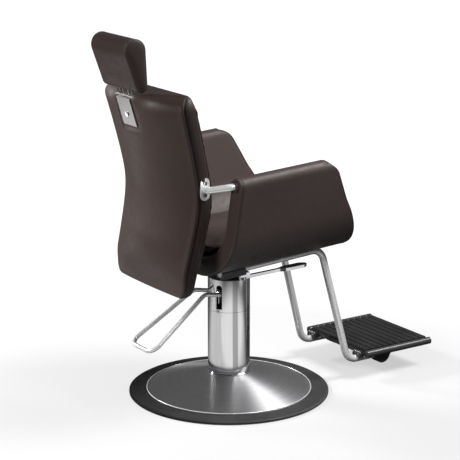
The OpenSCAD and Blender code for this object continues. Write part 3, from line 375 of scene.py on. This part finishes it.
def walk(pts, step, closed=False):
    """Points at even steps along a list of points."""
    line = pts + [pts[0]] if closed else pts
    out, left = [line[0]], step
    for a, b in zip(line, line[1:]):
        d = (b - a).length
        while d > 1e-9 and left <= d:
            a = a + (b - a) * (left / d)
            d = (b - a).length
            out.append(a)
            left = step
        left -= d
    return out


def stitches(name, lines, body, pitch=0.0065, length=0.0042, radius=0.0005):
    """Short rounded stitches with even gaps along lists of points."""
    runs = []
    for pts in lines:
        marks = walk(pts, pitch / 2)
        for a, b in zip(marks[0::2], marks[1::2]):
            d = (b - a)
            if d.length < pitch * 0.3:
                continue
            mid, half = (a + b) / 2, d.normalized() * length / 2
            runs.append([mid - half, mid - half * 0.4, mid + half * 0.4, mid + half])
    return bead(name, runs, radius, THREAD, body, sides=5)


def put_soft(obj, node, body):
    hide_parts(node)
    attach(obj, body)
    return obj


# padding
CLOTH_FRAMES = 20
# a pad starts this much smaller, because the cloth run swells it
PAD_SLACK, HEAD_SLACK = 0.003, 0.002


def inflate(obj, voxel, pressure, cap, hold, rounds=4):
    """Cloth run: a remeshed copy is blown up, hold(p) says how firmly a point stays."""
    scene = bpy.context.scene
    copy = bpy.data.objects.new(obj.name + "_run", obj.data.copy())
    scene.collection.objects.link(copy)
    mod = copy.modifiers.new("remesh", "REMESH")
    mod.mode = "VOXEL"
    mod.voxel_size = voxel
    even = copy.modifiers.new("even", "SMOOTH")
    even.iterations = rounds
    even.factor = 0.5
    graph = bpy.context.evaluated_depsgraph_get()
    start = bpy.data.meshes.new_from_object(copy.evaluated_get(graph))
    copy.modifiers.clear()
    copy.data = start
    group = copy.vertex_groups.new(name="hold")
    for v in start.vertices:
        w = hold(v.co)
        if w > 0:
            group.add([v.index], w, "REPLACE")
    cloth = copy.modifiers.new("cloth", "CLOTH")
    s = cloth.settings
    s.quality = 6
    s.mass = 0.3
    s.tension_stiffness = s.compression_stiffness = 12
    s.shear_stiffness = 6
    s.bending_stiffness = 0.6
    s.use_pressure = True
    s.uniform_pressure_force = pressure
    s.vertex_group_mass = "hold"
    s.effector_weights.gravity = 0
    cloth.collision_settings.use_collision = False
    cloth.point_cache.frame_start = 1
    cloth.point_cache.frame_end = CLOTH_FRAMES
    for step in range(1, CLOTH_FRAMES + 1):
        scene.frame_set(step)
    graph = bpy.context.evaluated_depsgraph_get()
    blown = bpy.data.meshes.new_from_object(copy.evaluated_get(graph))
    for v, old in zip(blown.vertices, start.vertices):
        move = v.co - old.co
        if move.length > cap:
            v.co = old.co + move * (cap / move.length)
    scene.frame_set(1)
    copy.modifiers.clear()
    copy.data = blown
    finer = copy.modifiers.new("finer", "SUBSURF")
    finer.levels = finer.render_levels = 1
    graph = bpy.context.evaluated_depsgraph_get()
    done = bpy.data.meshes.new_from_object(copy.evaluated_get(graph))
    done.materials.clear()
    done.materials.append(LEATHER)
    for p in done.polygons:
        p.use_smooth = True
    bpy.data.objects.remove(copy)
    obj.data = done
    return obj


def settle(obj, lines, lift=0.0):
    """Lines of points moved onto the surface of a piece."""
    me = obj.data
    tree = BVHTree.FromPolygons([v.co for v in me.vertices], [p.vertices for p in me.polygons])
    out = []
    for pts in lines:
        row = []
        for p in pts:
            at, normal, _, _ = tree.find_nearest(p)
            row.append(at + normal * lift)
        out.append(row)
    return out


# back
BACK_Z = (0.370, 0.954)
WAIST = (0.239, 0.650)
BAND = 0.054
REAR_R = 0.007
FRONT_R = 0.016
CORNER_LOW, CORNER_HIGH = 0.036, 0.042
FRONT_ROUND = 0.012
REAR_LOW, REAR_HIGH, REAR_WIDE = 0.014, 0.022, 0.050
CROWN = 0.056
GROOVE = 0.0042
TOP_FALL, FALL_FROM_Z = 0.11, 0.80
# columns beside the latch plate's edges, as distances from the middle
PLATE_COLUMNS = (0.031, 0.0345, 0.0375, 0.041, 0.046, 0.052)
# rounds stop just short of their full radius, so that no ring folds over
NEARLY = 0.97
POST = Vector((0, 0.343, 0.938))
LEAN = math.radians(17)
POST_UP = Vector((0, math.sin(LEAN), math.cos(LEAN)))
POST_OUT = Vector((0, math.cos(LEAN), -math.sin(LEAN)))
PLATE_OUT, PLATE_HALF, PLATE_LOW = 0.015, 0.035, -0.088
PLATE_SUNK = 0.0036
PLATE_GAP = 0.0015
PLATE_EASE = 0.022


def back_half(z):
    return 0.195 + (z - WAIST[1]) * 0.05


def back_line(z):
    d = z - WAIST[1]
    return WAIST[0] + (0.27 if d > 0 else 0.245) * (math.sqrt(d * d + 0.0036) - 0.06)


def under_plate(p):
    """Presses the leather flat under the latch plate and eases it out around it."""
    d = p - POST
    out, up = d.dot(POST_OUT), d.dot(POST_UP)
    limit = PLATE_OUT - PLATE_SUNK
    side = max(0.0, abs(p.x) - PLATE_HALF - PLATE_GAP)
    low = max(0.0, PLATE_LOW - PLATE_GAP - up)
    far = math.hypot(side, low)
    if far > PLATE_EASE or out <= limit:
        return p
    ease = smooth(far / PLATE_EASE)
    return p + POST_OUT * ((limit - out) * (1 - ease))


def back_ring(z):
    """Rear panel, a deep seam, side band, a seam, front: one level of the back."""
    low, high = z - BACK_Z[0], BACK_Z[1] - z
    corner = max(round_in(low, CORNER_LOW), round_in(high, CORNER_HIGH))
    edge = max(round_in(low, FRONT_ROUND), round_in(high, FRONT_ROUND)) * NEARLY
    rear = max(round_in(low, REAR_LOW), round_in(high, REAR_HIGH)) * NEARLY
    w = back_half(z) - corner * 0.9
    fade = 1 - smooth(low / 0.09)
    crown = CROWN * (1 - 0.92 * (1 - smooth(low / 0.17)))
    y1 = back_line(z) - rear - 0.016 * fade
    y0 = back_line(z) - BAND + edge
    # beside the latch plate the top edge turns forward over a wider round
    wider = min((round_in(high, REAR_WIDE) - round_in(high, REAR_HIGH)) * NEARLY, (y1 - y0) * 0.6)
    middle = y1
    y1 -= wider
    r = min(REAR_R, (y1 - y0) / 3)
    rf = min(FRONT_R, (y1 - y0) / 3)
    ring = []
    us = sorted({1 - 2 * i / 36 for i in range(37)}
                | {s * v / (w - r) for s in (-1, 1) for v in PLATE_COLUMNS}, reverse=True)
    for u in us:
        x = (w - r) * u
        y = middle - wider * smooth((abs(x) - 0.04) / 0.06)
        ring.append(Vector((x, y + crown * (1 - u * u), z)))
    k = 6
    for i in range(1, k + 1):
        a = math.pi / 2 * i / k
        ring.append(Vector((-(w - r) - r * math.sin(a), y1 - r + r * math.cos(a), z)))
    # the band: a groove beside the rear edge, a slight bulge, a round to the front
    top, bottom = y1 - r, y0 + rf
    depth = top - bottom
    deep = min(GROOVE, depth / 7)
    for share, g in ((0.04, 0.1), (0.08, 0.7), (0.12, 1), (0.17, 1), (0.22, 0.6), (0.3, 0.15)):
        ring.append(Vector((-w + deep * g, top - depth * share, z)))
    for i in range(5):
        share = 0.38 + 0.62 * i / 5
        bulge = 0.0016 * math.sin(math.pi * (share - 0.3) / 0.7)
        ring.append(Vector((-w - bulge, top - depth * share, z)))
    for i in range(k + 2):
        a = math.pi / 2 * i / (k + 1)
        ring.append(Vector((-(w - rf) - rf * math.cos(a), y0 + rf - rf * math.sin(a), z)))
    half = len(us)
    right = [Vector((-p.x, p.y, z)) for p in reversed(ring[half:])]
    mid = [Vector(((w - rf) * (2 * i / 12 - 1), y0, z)) for i in range(1, 12)]
    ring += mid + right
    for p in ring:
        p.z -= TOP_FALL * (p.y - y0) * smooth((z - FALL_FROM_Z) / (BACK_Z[1] - FALL_FROM_Z))
    ring[:half] = [under_plate(p) for p in ring[:half]]
    return ring, half + k + 2


def back_shell():
    zs = sorted({BACK_Z[0] + (BACK_Z[1] - BACK_Z[0]) * s for s in ends(84)}
                | {0.834 + 0.0035 * i for i in range(9)})
    rings = [back_ring(z) for z in zs]
    obj = loft("back_upholstery", [ring for ring, _ in rings], LEATHER)
    put_soft(obj, "back_shell", "back")
    # seam in the deep groove beside the rear panel, in dark seam leather that also paints the groove's
    # shade, and stitches on the panel's edge
    left = [ring[at] for ring, at in rings[3:-3]]
    other = [Vector((-p.x, p.y, p.z)) for p in left]
    bead("back_side_seams", [left, other], 0.0011, SEAM_AND_SHADE, "back")
    edge = [Vector((-(back_half(z) - REAR_R - 0.004), back_line(z), z)) for z in zs[10:-8]]
    lines = settle(obj, [edge, [Vector((-p.x, p.y, p.z)) for p in edge]], 0.0001)
    stitches("back_stitching", lines, "back")


PAD_Z = (0.428, 0.934)
PAD_IN = 0.012


def pad_half(z):
    d = min(z - PAD_Z[0], PAD_Z[1] - z)
    return back_half(z) - PAD_IN - min(round_in(d, 0.03), 0.027)


def pad_ring(z, slack):
    d = min(z - PAD_Z[0], PAD_Z[1] - z)
    w = pad_half(z) - slack
    y1 = back_line(z) - BAND - 0.0003
    rise = smooth(d / 0.09)
    ring = [Vector((w * (1 - 2 * i / 20), y1, z)) for i in range(21)]
    ring.append(Vector((-w - 0.0025, y1 - 0.003, z)))
    ring.append(Vector((-w - 0.0025, y1 - 0.006, z)))
    n = 36
    for i in range(n + 1):
        u = 2 * i / n - 1
        full = 0.009 + 0.021 * rise * (1 - abs(u) ** 3) - slack
        ring.append(Vector((w * u, y1 - full, z)))
    ring.append(Vector((w + 0.0025, y1 - 0.006, z)))
    ring.append(Vector((w + 0.0025, y1 - 0.003, z)))
    return ring


def back_pad():
    slack = PAD_SLACK
    zs = [PAD_Z[0] + (PAD_Z[1] - PAD_Z[0]) * s for s in ends(64)]
    obj = loft("back_front_pad", [pad_ring(z, slack) for z in zs], LEATHER)

    def hold(p):
        behind = (back_line(p.z) - BAND - p.y)
        return 1.0 if behind < 0.0035 else 0.0
    inflate(obj, 0.005, 3.5, 0.007, hold)
    put_soft(obj, "back_pad", "back")
    side = [Vector((pad_half(z) + 0.001, back_line(z) - BAND - 0.0065, z)) for z in zs[6:-6]]
    top = [Vector((x * pad_half(0.925) * 0.95, back_line(0.93) - BAND - 0.008, 0.9335))
           for x in [1 - i / 12 for i in range(25)]]
    low = [Vector((x * pad_half(0.44) * 0.95, back_line(0.43) - BAND - 0.008, 0.4285))
           for x in [1 - i / 12 for i in range(25)]]
    loop = side + top + [Vector((-p.x, p.y, p.z)) for p in reversed(side)] + list(reversed(low))
    loop = walk(loop, 0.008, True)[:-1]
    ring = settle(obj, [loop])[0]
    bead("front_pad_piping", [ring], 0.0022, LEATHER, "back", sides=8, closed=True)


# headrest
HEAD_AT = Vector((0, 0.344, 0.9525))
HEAD_LEAN = math.radians(11.4)
HEAD_UP = Vector((0, math.sin(HEAD_LEAN), math.cos(HEAD_LEAN)))
HEAD_OUT = Vector((0, math.cos(HEAD_LEAN), -math.sin(HEAD_LEAN)))
HEAD_RT, HEAD_RB, HEAD_H, HEAD_HALF = 0.035, 0.020, 0.157, 0.098
HEAD_EDGE = 0.008


def head_outline(x, e, n=56):
    reach = HEAD_H - HEAD_RT - HEAD_RB
    tilt = math.asin((HEAD_RT - HEAD_RB) / reach)
    pts = []
    for i in range(n):
        a = 2 * math.pi * i / n
        upper = math.sin(a) > -math.sin(tilt)
        r = (HEAD_RT if upper else HEAD_RB) - e
        c = HEAD_RB + (reach if upper else 0)
        pts.append(HEAD_AT + Vector((x, 0, 0)) + HEAD_OUT * (r * math.cos(a))
                   + HEAD_UP * (c + r * math.sin(a)))
    return pts


def headrest():
    slack = HEAD_SLACK
    half = HEAD_HALF - 0.002
    xs = [half * (2 * s - 1) for s in ends(36)]
    rings = [head_outline(x, slack + min(round_in(half - abs(x), HEAD_EDGE), 0.975 * HEAD_EDGE))
             for x in xs]
    obj = loft("headrest_cushion", rings, LEATHER, cap_rings=6, dome=(0.004, 0, 0))

    def hold(p):
        if abs(abs(p.x) - half + 0.003) < 0.006:
            return 1.0
        return 0.6 if (p - HEAD_AT).dot(HEAD_UP) < 0.012 else 0.0
    inflate(obj, 0.003, 3.0, 0.004, hold, 1)
    put_soft(obj, "headrest_pad", "headrest")
    lines = settle(obj, [head_outline(side * (half - 0.0035), 0.0012, 72) for side in (-1, 1)])
    bead("headrest_seams", lines, 0.0012, SEAM_AND_SHADE, "headrest", closed=True)
    rows = settle(obj, [head_outline(side * (half - 0.010), 0.0, 72) for side in (-1, 1)], 0.0001)
    stitches("headrest_stitching", [r + [r[0]] for r in rows], "headrest")


# tub
SEAT_Z = 0.413
PITCH = math.tan(math.radians(3.2))
CORNER = 0.200
FLARE = math.radians(12)
ARM_H = 0.317
ARM_T, FLOOR_T = 0.048, 0.054
TUB_HALF = 0.301
TUB_REAR, TUB_FRONT = 0.160, -0.345
EDGE_R = 0.006
ARC_END_Z = CORNER - CORNER * math.sin(FLARE)
ARC_END_X = TUB_HALF - (ARM_H - ARC_END_Z) * math.tan(FLARE)
ARC_X = ARC_END_X - CORNER * math.cos(FLARE)


def tub_wall(z):
    return FLOOR_T + (ARM_T - FLOOR_T) * smooth(z / (ARM_H * 0.5))


def tub_nose(z):
    return TUB_FRONT + 0.6 * z - 0.12 * max(0.0, z - 0.62 * ARM_H)


def tub_stations():
    """[x, z, angle] along the outer line from the centre to the arm top."""
    out = [(ARC_X * i / 8, 0.0, math.pi / 2) for i in range(8)]
    for i in range(37):
        a = math.pi / 2 - (math.pi / 2 - FLARE) * i / 36
        out.append((ARC_X + CORNER * math.cos(a), CORNER - CORNER * math.sin(a), a))
    h = ARM_H - ARM_T / 2 - ARC_END_Z
    for i in range(1, 19):
        out.append((ARC_END_X + h * i / 18 * math.tan(FLARE), ARC_END_Z + h * i / 18, FLARE))
    return out


def tub_frame(st, side, lift):
    """Places a point of the wall at a station, by y and by distance from mid-wall."""
    x0, z0, a0 = st
    wall = tub_wall(z0)
    nx, nz = math.cos(a0), -math.sin(a0)
    up = lift if a0 == FLARE else 0
    cx = x0 - nx * wall / 2 + up * math.sin(FLARE)
    cz = z0 - nz * wall / 2 + up * math.cos(FLARE)

    def at(y, n):
        return Vector((side * (cx + nx * n), y, SEAT_Z + cz + nz * n - PITCH * y))
    nose = tub_nose(min(cz, ARM_H)) + round_in(ARM_H + 0.001 - min(cz, ARM_H), 0.038)
    return at, wall, nose


def tub_ring(st, side, lift, narrow):
    at, wall, y0 = tub_frame(st, side, lift)
    half = wall / 2 * narrow
    y1 = TUB_REAR
    r = min(half * 0.98, EDGE_R)
    k = 5
    out = []
    groove = 0.0012 * min(1.0, half / 0.01)
    flat = 10
    steps = ((0.0002, 0), (0.0012, groove), (0.0022, 0))
    for q, (sy, sn) in enumerate(((1, 1), (-1, 1), (-1, -1), (1, -1))):
        cy = y1 - r if sy > 0 else y0 + r
        cn = sn * (half - r)
        for i in range(k + 1):
            a = math.pi / 2 * (q + i / k)
            out.append((cy + r * math.cos(a), cn + r * math.sin(a)))
        if q in (0, 2):
            s = 1 if q == 0 else -1
            first, last = (y1 - r, y0 + r) if q == 0 else (y0 + r, y1 - r)
            way = -1 if q == 0 else 1
            out += [(first + way * d, s * (half - g)) for d, g in steps]
            a_y, b_y = first + way * 0.012, last - way * 0.012
            out += [(a_y + (b_y - a_y) * t / flat, s * half) for t in range(flat + 1)]
            out += [(last - way * d, s * (half - g)) for d, g in reversed(steps)]
    return [at(y, n) for y, n in out]


def tub_line(y_of, n_share, rows):
    """A line over the whole tub at wall share n_share, from one arm top to the other."""
    pts = []
    for st, side, lift, narrow in rows:
        at, wall, nose = tub_frame(st, side, lift)
        pts.append(at(y_of(nose), wall / 2 * narrow * n_share))
    return pts


def tub():
    right = tub_stations()
    top = right[-1]
    cap = [math.pi / 2 * i / 7 * 0.97 for i in range(1, 8)]
    rows = [(top, -1, ARM_T / 2 * math.sin(c), math.cos(c)) for c in reversed(cap)]
    rows += [(st, -1, 0, 1) for st in reversed(right[1:])]
    rows += [(st, 1, 0, 1) for st in right]
    rows += [(top, 1, ARM_T / 2 * math.sin(c), math.cos(c)) for c in cap]
    obj = loft("tub_upholstery", [tub_ring(*row) for row in rows], LEATHER, cap_rings=1)
    put_soft(obj, "tub_shell", "seat")
    body = [row for row in rows if row[2] < ARM_T / 2 * 0.9]
    seams, sewn = [], []
    for share in (1, -1):
        seams.append(tub_line(lambda nose: TUB_REAR - EDGE_R - 0.0012, share, body))
        seams.append(tub_line(lambda nose: nose + EDGE_R + 0.0012, share, body))
        sewn.append(tub_line(lambda nose: TUB_REAR - EDGE_R - 0.0062, share, body))
        sewn.append(tub_line(lambda nose: nose + EDGE_R + 0.0062, share, body))
    bead("tub_seams", settle(obj, seams), 0.0009, SEAM_AND_SHADE, "seat")
    stitches("tub_stitching", settle(obj, sewn, 0.0001), "seat")


# seat cushion
def tub_inside(a, d):
    z = CORNER - CORNER * math.sin(a)
    t = tub_wall(z) + d
    return (ARC_X + CORNER * math.cos(a) - t * math.cos(a), z + t * math.sin(a))


CUSHION_Y = (-0.330, 0.142)
CUSHION_TOP = FLOOR_T + 0.0003 + 0.036


def cushion_ring(y, slack):
    d = min(y - CUSHION_Y[0], CUSHION_Y[1] - y)
    e = min(round_in(d, 0.014), 0.0135)
    crown = 0.016 * smooth(d / CUSHION_Y[1]) - slack
    z = SEAT_Z - PITCH * y
    k = 10
    high = CUSHION_TOP - e
    turn = math.acos((CORNER - high) / (CORNER - FLOOR_T - 0.0015 - e))
    flank = [tub_inside(math.pi / 2 - turn * i / k,
                        0.0015 + e + slack + 0.004 * math.sin(math.pi * i / k)) for i in range(k + 1)]
    w = flank[k][0]
    low = flank[0]
    ring = [Vector((-low[0] + 2 * low[0] * (1 - i / 8), y, z + low[1])) for i in range(9)]
    ring += [Vector((-flank[i][0], y, z + flank[i][1])) for i in range(1, k)]
    n = 44
    ring += [Vector((w * (2 * i / n - 1), y, z + high + crown * (1 - abs(2 * i / n - 1) ** 3)))
             for i in range(n + 1)]
    ring += [Vector((flank[i][0], y, z + flank[i][1])) for i in range(k - 1, 0, -1)]
    return ring, w, z + high


def seat_cushion():
    slack = PAD_SLACK
    ys = [CUSHION_Y[0] + (CUSHION_Y[1] - CUSHION_Y[0]) * s for s in ends(56)]
    obj = loft("seat_pad", [cushion_ring(y, slack)[0] for y in ys], LEATHER)

    def hold(p):
        level = p.z - SEAT_Z + PITCH * p.y
        return 1.0 if level < FLOOR_T + 0.012 else 0.0
    inflate(obj, 0.006, 3.5, 0.007, hold)
    put_soft(obj, "seat_cushion", "seat")
    side = []
    for y in ys[7:-7]:
        _, w, z = cushion_ring(y, slack)
        side.append(Vector((w, y, z)))
    front = [Vector((side[0].x * (1 - i / 12), CUSHION_Y[0] + 0.004, side[0].z)) for i in range(1, 24)]
    rear = [Vector((side[-1].x * (1 - i / 12), CUSHION_Y[1] - 0.004, side[-1].z)) for i in range(1, 24)]
    other = [Vector((-p.x, p.y, p.z)) for p in side]
    loop = list(reversed(side)) + front + other + list(reversed(rear))
    loop = walk(loop, 0.008, True)[:-1]
    bead("seat_pad_piping", settle(obj, [loop]), 0.0024, LEATHER, "seat", sides=8, closed=True)


# lines on the base: a bright satin ring that paints the highlight where the disc's rounded rim catches
# the light, and the column's seam
DISC_RIM_R, DISC_RIM_Z, DISC_HIGHLIGHT_LINE = 0.2465, 0.0152, 0.0016
COLUMN_R, COLUMN_SEAM_Z, COLUMN_SEAM_LINE = 0.063, 0.262, 0.0004


def ring_line(name, r, z, radius, mat):
    """A thin line around the column's axis."""
    pts = [Vector((r * math.cos(t), r * math.sin(t), z))
           for t in [2 * math.pi * i / 160 for i in range(160)]]
    bead(name, [pts], radius, mat, "base", closed=True)


back_shell()
back_pad()
headrest()
tub()
seat_cushion()
# painted highlight: a bright satin ring along the disc's rounded rim, where it catches the light
ring_line("disc_rim_highlight", DISC_RIM_R, DISC_RIM_Z, DISC_HIGHLIGHT_LINE, SATIN)
ring_line("column_seam_line", COLUMN_R, COLUMN_SEAM_Z, COLUMN_SEAM_LINE, PLASTIC)


# studio
def area(name, at, to, size, power):
    data = bpy.data.lights.new(name, "AREA")
    data.shape = "RECTANGLE"
    data.size, data.size_y = size
    data.energy = power
    obj = bpy.data.objects.new(name, data)
    bpy.context.scene.collection.objects.link(obj)
    obj.location = at
    obj.rotation_euler = (Vector(to) - Vector(at)).to_track_quat("-Z", "Y").to_euler()
    return obj


def spare(light, names):
    """Keeps a light off the named nodes."""
    group = bpy.data.collections.new(light.name + "_spares")
    for name in names:
        group.objects.link(bpy.data.objects[name])
    light.light_linking.receiver_collection = group
    for item in group.collection_objects:
        item.light_linking.link_state = "EXCLUDE"


def pool(n, xy, at, inner, outer):
    """1 within the inner distance of a spot on the floor, easing to 0 at the outer one."""
    dx, dy = n.math("SUBTRACT", xy[0], at[0]), n.math("SUBTRACT", xy[1], at[1])
    r = n.math("SQRT", n.math("ADD", n.math("MULTIPLY", dx, dx), n.math("MULTIPLY", dy, dy)))
    return n.span(r, 1, 0, inner, outer)


FLOOR_HALF = 14
FLOOR_SEEN, FLOOR_UNSEEN = (150, 150, 151), (56, 56, 57)
# the floor's own brightness for the camera, and where it fades, from the chair outwards
SEEN_FAR, SEEN_NEAR = 1.0, 0.55
SEEN_FADE = (0.8, 2.4)
# the world's light on surfaces, and how far towards white reflections see it
WORLD_LIGHT, WORLD_GLOSS = 0.11, 0.075
# bright pools that only reflections see: place, inner and outer radius, strength
SHINE_POOLS = (
    ((1.42, 0.88), 0.25, 0.45, 1.4),
    ((-1.6, -1.1), 0.3, 0.8, 1.6),
    ((1.8, 1.1), 0.15, 0.42, 1.2),
)


def mirrored_light(n, xy):
    """What metal and leather mirror: the floor around the base on the camera's side with a
    grey streak for the column's stripe, the floor to its left, and the pools."""
    near = n.math("MULTIPLY", pool(n, xy, (-0.3, 0.1), 0.7, 1.02),
                  pool(n, xy, (-2.0, 0.6), 1.75, 2.1))
    ahead = n.math("MAXIMUM", n.math("MULTIPLY", xy[0], -1.0), 0.01)
    ratio = n.math("DIVIDE", n.math("ABSOLUTE", xy[1]), ahead)
    near = n.math("MULTIPLY", near, n.span(ratio, 0.42, 1.0, 0.2, 0.3))
    left = n.math("MULTIPLY", pool(n, xy, (0.15, 0.75), 0.45, 0.85), 0.68)
    light = n.span(n.math("MAXIMUM", near, left), 0.03, 0.9, 0, 1)
    for at, inner, outer, strength in SHINE_POOLS:
        light = n.math("ADD", light, n.math("MULTIPLY", pool(n, xy, at, inner, outer), strength))
    return light


def make_floor():
    s = FLOOR_HALF
    n = Nodes("floor_pale")
    floor = add_mesh("floor", [(-s, -s, 0), (s, -s, 0), (s, s, 0), (-s, s, 0)], [(0, 1, 2, 3)], n.mat)
    path = n.tree.nodes.new("ShaderNodeLightPath")
    tone = n.blend(path.outputs["Is Camera Ray"], lin(FLOOR_UNSEEN), lin(FLOOR_SEEN))
    n.set(Base_Color=tone, Roughness=0.8, Specular_IOR_Level=0.1)
    split = n.tree.nodes.new("ShaderNodeSeparateXYZ")
    n.put(split.inputs[0], n.coords)
    xy = split.outputs[0], split.outputs[1]
    plain = n.span(pool(n, xy, (0, 0), *SEEN_FADE), SEEN_FAR, SEEN_NEAR, 0, 1)
    glow = n.tree.nodes.new("ShaderNodeEmission")
    n.put(glow.inputs["Strength"], n.math("ADD",
          n.math("MULTIPLY", n.math("MAXIMUM", path.outputs["Is Camera Ray"],
                                    path.outputs["Is Transmission Ray"]), plain),
          n.math("MULTIPLY", path.outputs["Is Glossy Ray"], mirrored_light(n, xy))))
    add = n.tree.nodes.new("ShaderNodeAddShader")
    n.put(add.inputs[0], n.bsdf.outputs[0])
    n.put(add.inputs[1], glow.outputs[0])
    n.put(n.tree.nodes["Material Output"].inputs["Surface"], add.outputs[0])


def make_world():
    """White to the camera, a dim even light to everything else."""
    world = bpy.data.worlds.new("studio")
    bpy.context.scene.world = world
    world.use_nodes = True
    t = world.node_tree
    bg = t.nodes["Background"]
    path = t.nodes.new("ShaderNodeLightPath")
    seen = t.nodes.new("ShaderNodeMath")
    seen.operation = "MAXIMUM"
    t.links.new(path.outputs["Is Camera Ray"], seen.inputs[0])
    t.links.new(path.outputs["Is Transmission Ray"], seen.inputs[1])
    gloss = t.nodes.new("ShaderNodeMath")
    gloss.operation = "MULTIPLY"
    t.links.new(path.outputs["Is Glossy Ray"], gloss.inputs[0])
    gloss.inputs[1].default_value = WORLD_GLOSS
    both = t.nodes.new("ShaderNodeMath")
    both.operation = "MAXIMUM"
    t.links.new(seen.outputs[0], both.inputs[0])
    t.links.new(gloss.outputs[0], both.inputs[1])
    level = t.nodes.new("ShaderNodeMapRange")
    t.links.new(both.outputs[0], level.inputs["Value"])
    level.inputs["To Min"].default_value = WORLD_LIGHT
    level.inputs["To Max"].default_value = 1.0
    t.links.new(level.outputs["Result"], bg.inputs["Strength"])
    bg.inputs["Color"].default_value = (1, 1, 1, 1)


BASE_PIECES = ("base_disc", "base_ring", "base_plate")
# name: place, aim, size, watts, pieces that it is kept off
LAMPS = {
    "key_light": ((-1.25, -2.35, 3.3), (-0.1, -0.1, 0.5), (1.5, 1.5), 158, ()),
    "side_light": ((-2.3, -0.6, 3.1), (-0.2, -0.1, 0.6), (0.8, 0.8), 95,
                   ("back_upholstery", "headrest_cushion", "base_disc", "floor")),
    "rear_light": ((-0.15, 3.1, 1.2), (0, 0.3, 0.8), (1.3, 1.1), 72, BASE_PIECES),
    "edge_light": ((2.6, 1.8, 1.95), (0, 0.3, 0.9), (0.9, 0.7), 125,
                   BASE_PIECES + ("headrest_cushion",)),
}


def make_lamps():
    for name, (at, to, size, power, spared) in LAMPS.items():
        lamp = area(name, at, to, size, power)
        if spared:
            spare(lamp, spared)
    bpy.data.objects["rear_light"].visible_glossy = False


make_floor()
make_world()
make_lamps()
bpy.context.scene.view_settings.view_transform = "Standard"
